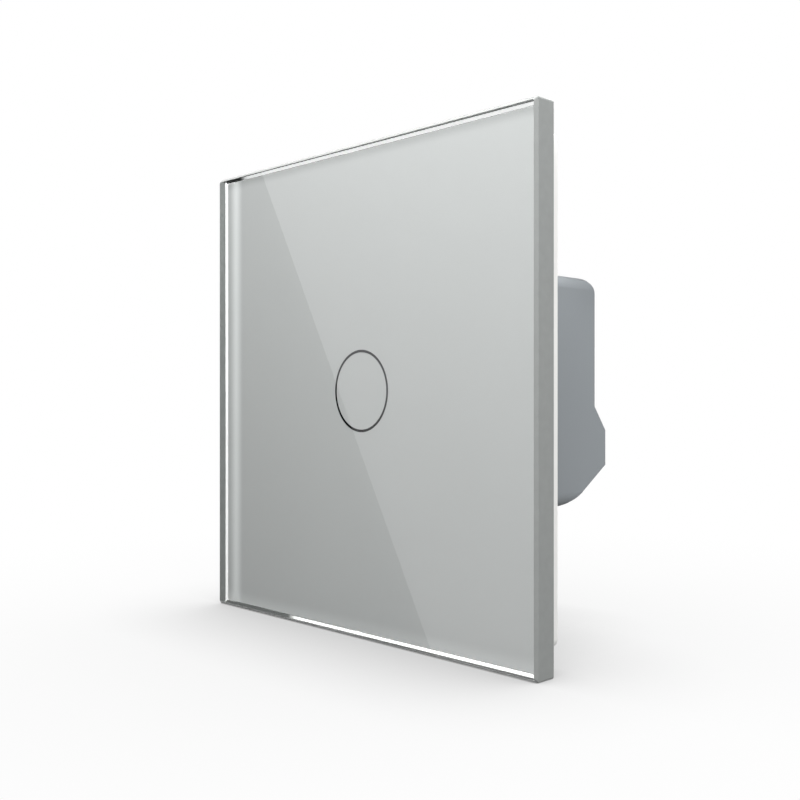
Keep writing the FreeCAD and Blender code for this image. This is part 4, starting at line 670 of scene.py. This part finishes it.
class StudioLook(bpy.types.PropertyGroup):
    """Lamps and floor of the studio."""
    key_power: bpy.props.FloatProperty(
        name="Key lamp", description="Power of the soft lamp at the upper right", default=1.26, unit="POWER")
    fill_power: bpy.props.FloatProperty(
        name="Fill lamp", description="Power of the wide lamp on the right", default=0.93, unit="POWER")
    back_power: bpy.props.FloatProperty(
        name="Back lamp", description="Power of the lamp that lights the back", default=0.6, unit="POWER")
    room_light: bpy.props.FloatProperty(
        name="Room light", description="Strength of the even light from all sides", default=0.1)
    # The floor's shadow is painted: ambient occlusion darkens the floor's glow.
    shadow_level: bpy.props.FloatProperty(
        name="Shadow", description="Light left on the floor right under the object", default=0.28)
    shadow_reach: bpy.props.FloatProperty(
        name="Shadow reach", description="How far the object darkens the floor",
        default=26.0 * MM, unit="LENGTH")
    outer_shadow_reach: bpy.props.FloatProperty(
        name="Haze reach", description="How far its faint outer shadow spreads",
        default=110.0 * MM, unit="LENGTH")
    outer_shadow_share: bpy.props.FloatProperty(
        name="Haze share", description="Share of the outer shadow in the whole",
        default=0.35, min=0.0, max=1.0)


# Pieces

class DIMMER_OT_finishes(bpy.types.Operator):
    """Give every CAD piece its finish"""
    bl_idname = "dimmer.finishes"
    bl_label = "Finishes"

    def execute(self, context):
        for preview in list(bpy.data.materials):
            bpy.data.materials.remove(preview)
        make_finishes(context.scene.dimmer_panel)
        for node, piece in frame["nodes"].items():
            wear(piece, SLOT_OF[node])
        return {"FINISHED"}


class DIMMER_OT_glass(bpy.types.Operator):
    """Cut the glass plate with crisp corners and a bevel all round, front and back"""
    bl_idname = "dimmer.glass"
    bl_label = "Glass"

    def execute(self, context):
        look = context.scene.dimmer_panel
        made = box_between(GLASS_LOW, GLASS_HIGH)
        for depth, width in ((GLASS_LOW.y, look.front_bevel), (GLASS_HIGH.y, look.back_bevel)):
            rim = [e for e in made.edges if all(abs(v.co.y - depth) < MERGE for v in e.verts)]
            bmesh.ops.bevel(made, geom=rim, offset=width, segments=1, profile=0.5, affect="EDGES",
                            material=-1)
        corners = [e for e in made.edges if abs(turned_by(e, "x")) > 0.0 and abs(turned_by(e, "z")) > 0.0
                   or turned_by(e, "x") == turned_by(e, "z") == 0.0]
        bmesh.ops.bevel(made, geom=corners, offset=look.glass_corner, segments=3, profile=0.5,
                        affect="EDGES", material=-1)
        bmesh.ops.recalc_face_normals(made, faces=made.faces)
        new_piece("glass_plate", made, "panel_glass", "panel", "glass_panel")
        return {"FINISHED"}


class DIMMER_OT_coat(bpy.types.Operator):
    """Print the grey coat on the back of the glass"""
    bl_idname = "dimmer.coat"
    bl_label = "Coat"

    def execute(self, context):
        look = context.scene.dimmer_panel
        low = COAT_LOW - Vector((0.0, look.contact, 0.0))
        made = slab(low, COAT_HIGH, COAT_CORNER)
        new_piece("coat", made, "grey_coat", "panel", "back_print")
        return {"FINISHED"}


class DIMMER_OT_mark(bpy.types.Operator):
    """Print the ring of the touch mark"""
    bl_idname = "dimmer.mark"
    bl_label = "Touch mark"

    def execute(self, context):
        look = context.scene.dimmer_panel
        outer = RING_HIGH.x
        inner = outer - RING_LINE
        front = RING_LOW.y - look.mark_contact
        back = RING_HIGH.y
        made = turned([(inner, front), (outer, front), (outer, back), (inner, back)])
        new_piece("touch_mark", made, "mark_ink", "panel", "touch_ring")
        return {"FINISHED"}


class DIMMER_OT_edges(bpy.types.Operator):
    """Round the edges of the mouldings, the steel plate and the sink"""
    bl_idname = "dimmer.edges"
    bl_label = "Soft edges"

    def execute(self, context):
        width = context.scene.dimmer_panel.edge_softness
        for node in MOULDED:
            softened(node, width)
        for node in CUT:
            softened(node, width / 2, 1)
        return {"FINISHED"}


class DIMMER_OT_spring(bpy.types.Operator):
    """Coil the touch spring from round wire"""
    bl_idname = "dimmer.spring"
    bl_label = "Touch spring"

    def execute(self, context):
        wire = context.scene.dimmer_panel.wire
        middle = (SPRING_LOW + SPRING_HIGH) / 2
        radius = (SPRING_HIGH.x - SPRING_LOW.x) / 2 - wire / 2
        made = coil(middle, radius, SPRING_HIGH.y - wire / 2, SPRING_LOW.y + wire / 2, SPRING_TURNS, wire)
        smooth(new_piece("round_spring", made, "spring_steel", "module", "touch_spring"))
        return {"FINISHED"}


class DIMMER_OT_winding(bpy.types.Operator):
    """Wind the choke with round wire, turn beside turn"""
    bl_idname = "dimmer.winding"
    bl_label = "Choke winding"

    def execute(self, context):
        wire = context.scene.dimmer_panel.winding_wire
        middle = (WINDING_LOW + WINDING_HIGH) / 2
        depth = WINDING_HIGH.y - WINDING_LOW.y
        turns = math.floor(depth / wire) - 1
        start = WINDING_LOW.y + (depth - turns * wire) / 2
        radius = (WINDING_HIGH.x - WINDING_LOW.x) / 2 - wire / 2
        made = coil(middle, radius, start, start + turns * wire, turns, wire, steps=48, sides=8)
        smooth(new_piece("wound_wire", made, "copper_wire", "module", "choke_winding"))
        return {"FINISHED"}


# Studio

def area_lamp(name, power, place, aim, size):
    """A square soft lamp, seen only by its light."""
    data = bpy.data.lights.new(name, "AREA")
    data.shape = "RECTANGLE"
    data.size = data.size_y = size
    data.energy = power
    lamp = bpy.data.objects.new(name, data)
    bpy.context.scene.collection.objects.link(lamp)
    lamp.location = place
    lamp.rotation_euler = (Vector(aim) - Vector(place)).to_track_quat("-Z", "Y").to_euler()
    lamp.visible_camera = lamp.visible_glossy = lamp.visible_transmission = False


def seen_directly(finish):
    """1 for rays that show a surface to the camera, straight, mirrored or through glass."""
    return finish.ray("Camera").larger(finish.ray("Transmission")).larger(finish.ray("Glossy"))


def stage_plane(name, corners, material):
    """A flat backdrop piece that isn't part of the object."""
    made = bmesh.new()
    made.faces.new([made.verts.new(corner) for corner in corners])
    mesh = bpy.data.meshes.new(name)
    made.to_mesh(mesh)
    made.free()
    plane = bpy.data.objects.new(name, mesh)
    bpy.context.scene.collection.objects.link(plane)
    plane.data.materials.append(material)
    return plane


def floor_finish(look):
    """White glow for the eye, with the object's soft shadow painted in from ambient occlusion, and matt grey
    for the light that it sends up.
    """
    finish = Finish("studio_floor")
    near, far = (finish.node("ShaderNodeAmbientOcclusion", {"samples": 24}, {"Distance": reach}, "AO")
                 for reach in (look.shadow_reach, look.outer_shadow_reach))
    # Painted shadow: near the object, ambient occlusion darkens the floor's glow.
    painted_shadow_factor = near * (1.0 - look.outer_shadow_share) + far * look.outer_shadow_share
    shown = finish.blend(painted_shadow_factor, finish.glow((look.shadow_level,) * 3), finish.glow(WHITE))
    matt = finish.node("ShaderNodeBsdfDiffuse", None, {"Color": MATT_FLOOR})
    return finish.out(finish.blend(seen_directly(finish), matt, shown))


def card_finish():
    """The near black of a studio card."""
    finish = Finish("dark_card")
    return finish.out(finish.glow(CARD_COLOUR))


def surround(look):
    """White for the eye, and a faint even light on the object."""
    world = bpy.data.worlds.new("surround")
    bpy.context.scene.world = world
    sky = Finish("surround", world)
    room, shown = (sky.node("ShaderNodeBackground", None, {"Color": WHITE, "Strength": strength})
                   for strength in (look.room_light, 1.0))
    sky.out(sky.blend(seen_directly(sky), room, shown), "ShaderNodeOutputWorld")


def photo_camera(scene):
    """The camera at the photograph's place and angle."""
    data = bpy.data.cameras.new("camera")
    data.sensor_width = SENSOR
    data.lens = LENS
    data.shift_x = SHIFT_ACROSS
    data.shift_y = SHIFT_UP
    data.clip_start = NEAREST
    camera = bpy.data.objects.new("camera", data)
    scene.collection.objects.link(camera)
    camera.location = CAMERA_PLACE
    camera.rotation_euler = (math.radians(90.0), 0.0, CAMERA_TURN)
    scene.camera = camera


class DIMMER_OT_studio(bpy.types.Operator):
    """Set the floor, lamps, white surround and camera"""
    bl_idname = "dimmer.studio"
    bl_label = "Studio"

    def execute(self, context):
        look = context.scene.dimmer_studio
        ground = GLASS_LOW.z
        half = FLOOR_HALF
        corners = [(x, y, ground) for x, y in ((-half, -half), (half, -half), (half, half), (-half, half))]
        floor = stage_plane("floor", corners, floor_finish(look))
        floor.visible_glossy = False
        card = stage_plane("card", CARD_CORNERS, card_finish())
        card.visible_shadow = False
        flag = stage_plane("flag", FLAG_CORNERS, card_finish())
        flag.visible_glossy = False
        for screen in (card, flag):
            screen.visible_camera = False
            screen.visible_diffuse = False
            screen.visible_transmission = False
        surround(look)
        area_lamp("key", look.key_power, *KEY_LAMP)
        area_lamp("fill", look.fill_power, *FILL_LAMP)
        area_lamp("back", look.back_power, *BACK_LAMP)
        photo_camera(context.scene)
        context.scene.view_settings.view_transform = "Standard"
        return {"FINISHED"}


PIECES = (DIMMER_OT_finishes, DIMMER_OT_glass, DIMMER_OT_coat, DIMMER_OT_mark, DIMMER_OT_edges,
          DIMMER_OT_spring, DIMMER_OT_winding)


class DIMMER_PT_sidebar(bpy.types.Panel):
    """The dimmer's looks and the buttons that build its pieces"""
    bl_idname = "DIMMER_PT_sidebar"
    bl_label = "Touch dimmer"
    bl_space_type = "VIEW_3D"
    bl_region_type = "UI"
    bl_category = "Dimmer"

    def draw(self, context):
        for look in (context.scene.dimmer_panel, context.scene.dimmer_studio):
            for name in look.__annotations__:
                self.layout.prop(look, name)
        for piece in (*PIECES, DIMMER_OT_studio):
            self.layout.operator(piece.bl_idname)


CLASSES = (PanelLook, StudioLook, *PIECES, DIMMER_OT_studio, DIMMER_PT_sidebar)


def register():
    for made in CLASSES:
        bpy.utils.register_class(made)
    bpy.types.Scene.dimmer_panel = bpy.props.PointerProperty(type=PanelLook)
    bpy.types.Scene.dimmer_studio = bpy.props.PointerProperty(type=StudioLook)


def unregister():
    del bpy.types.Scene.dimmer_studio
    del bpy.types.Scene.dimmer_panel
    for made in reversed(CLASSES):
        bpy.utils.unregister_class(made)


def main():
    register()
    for piece in (*PIECES, DIMMER_OT_studio):
        group, name = piece.bl_idname.split(".")
        getattr(getattr(bpy.ops, group), name)()
    bpy.context.view_layer.update()


if __name__ == "__main__":
    main()
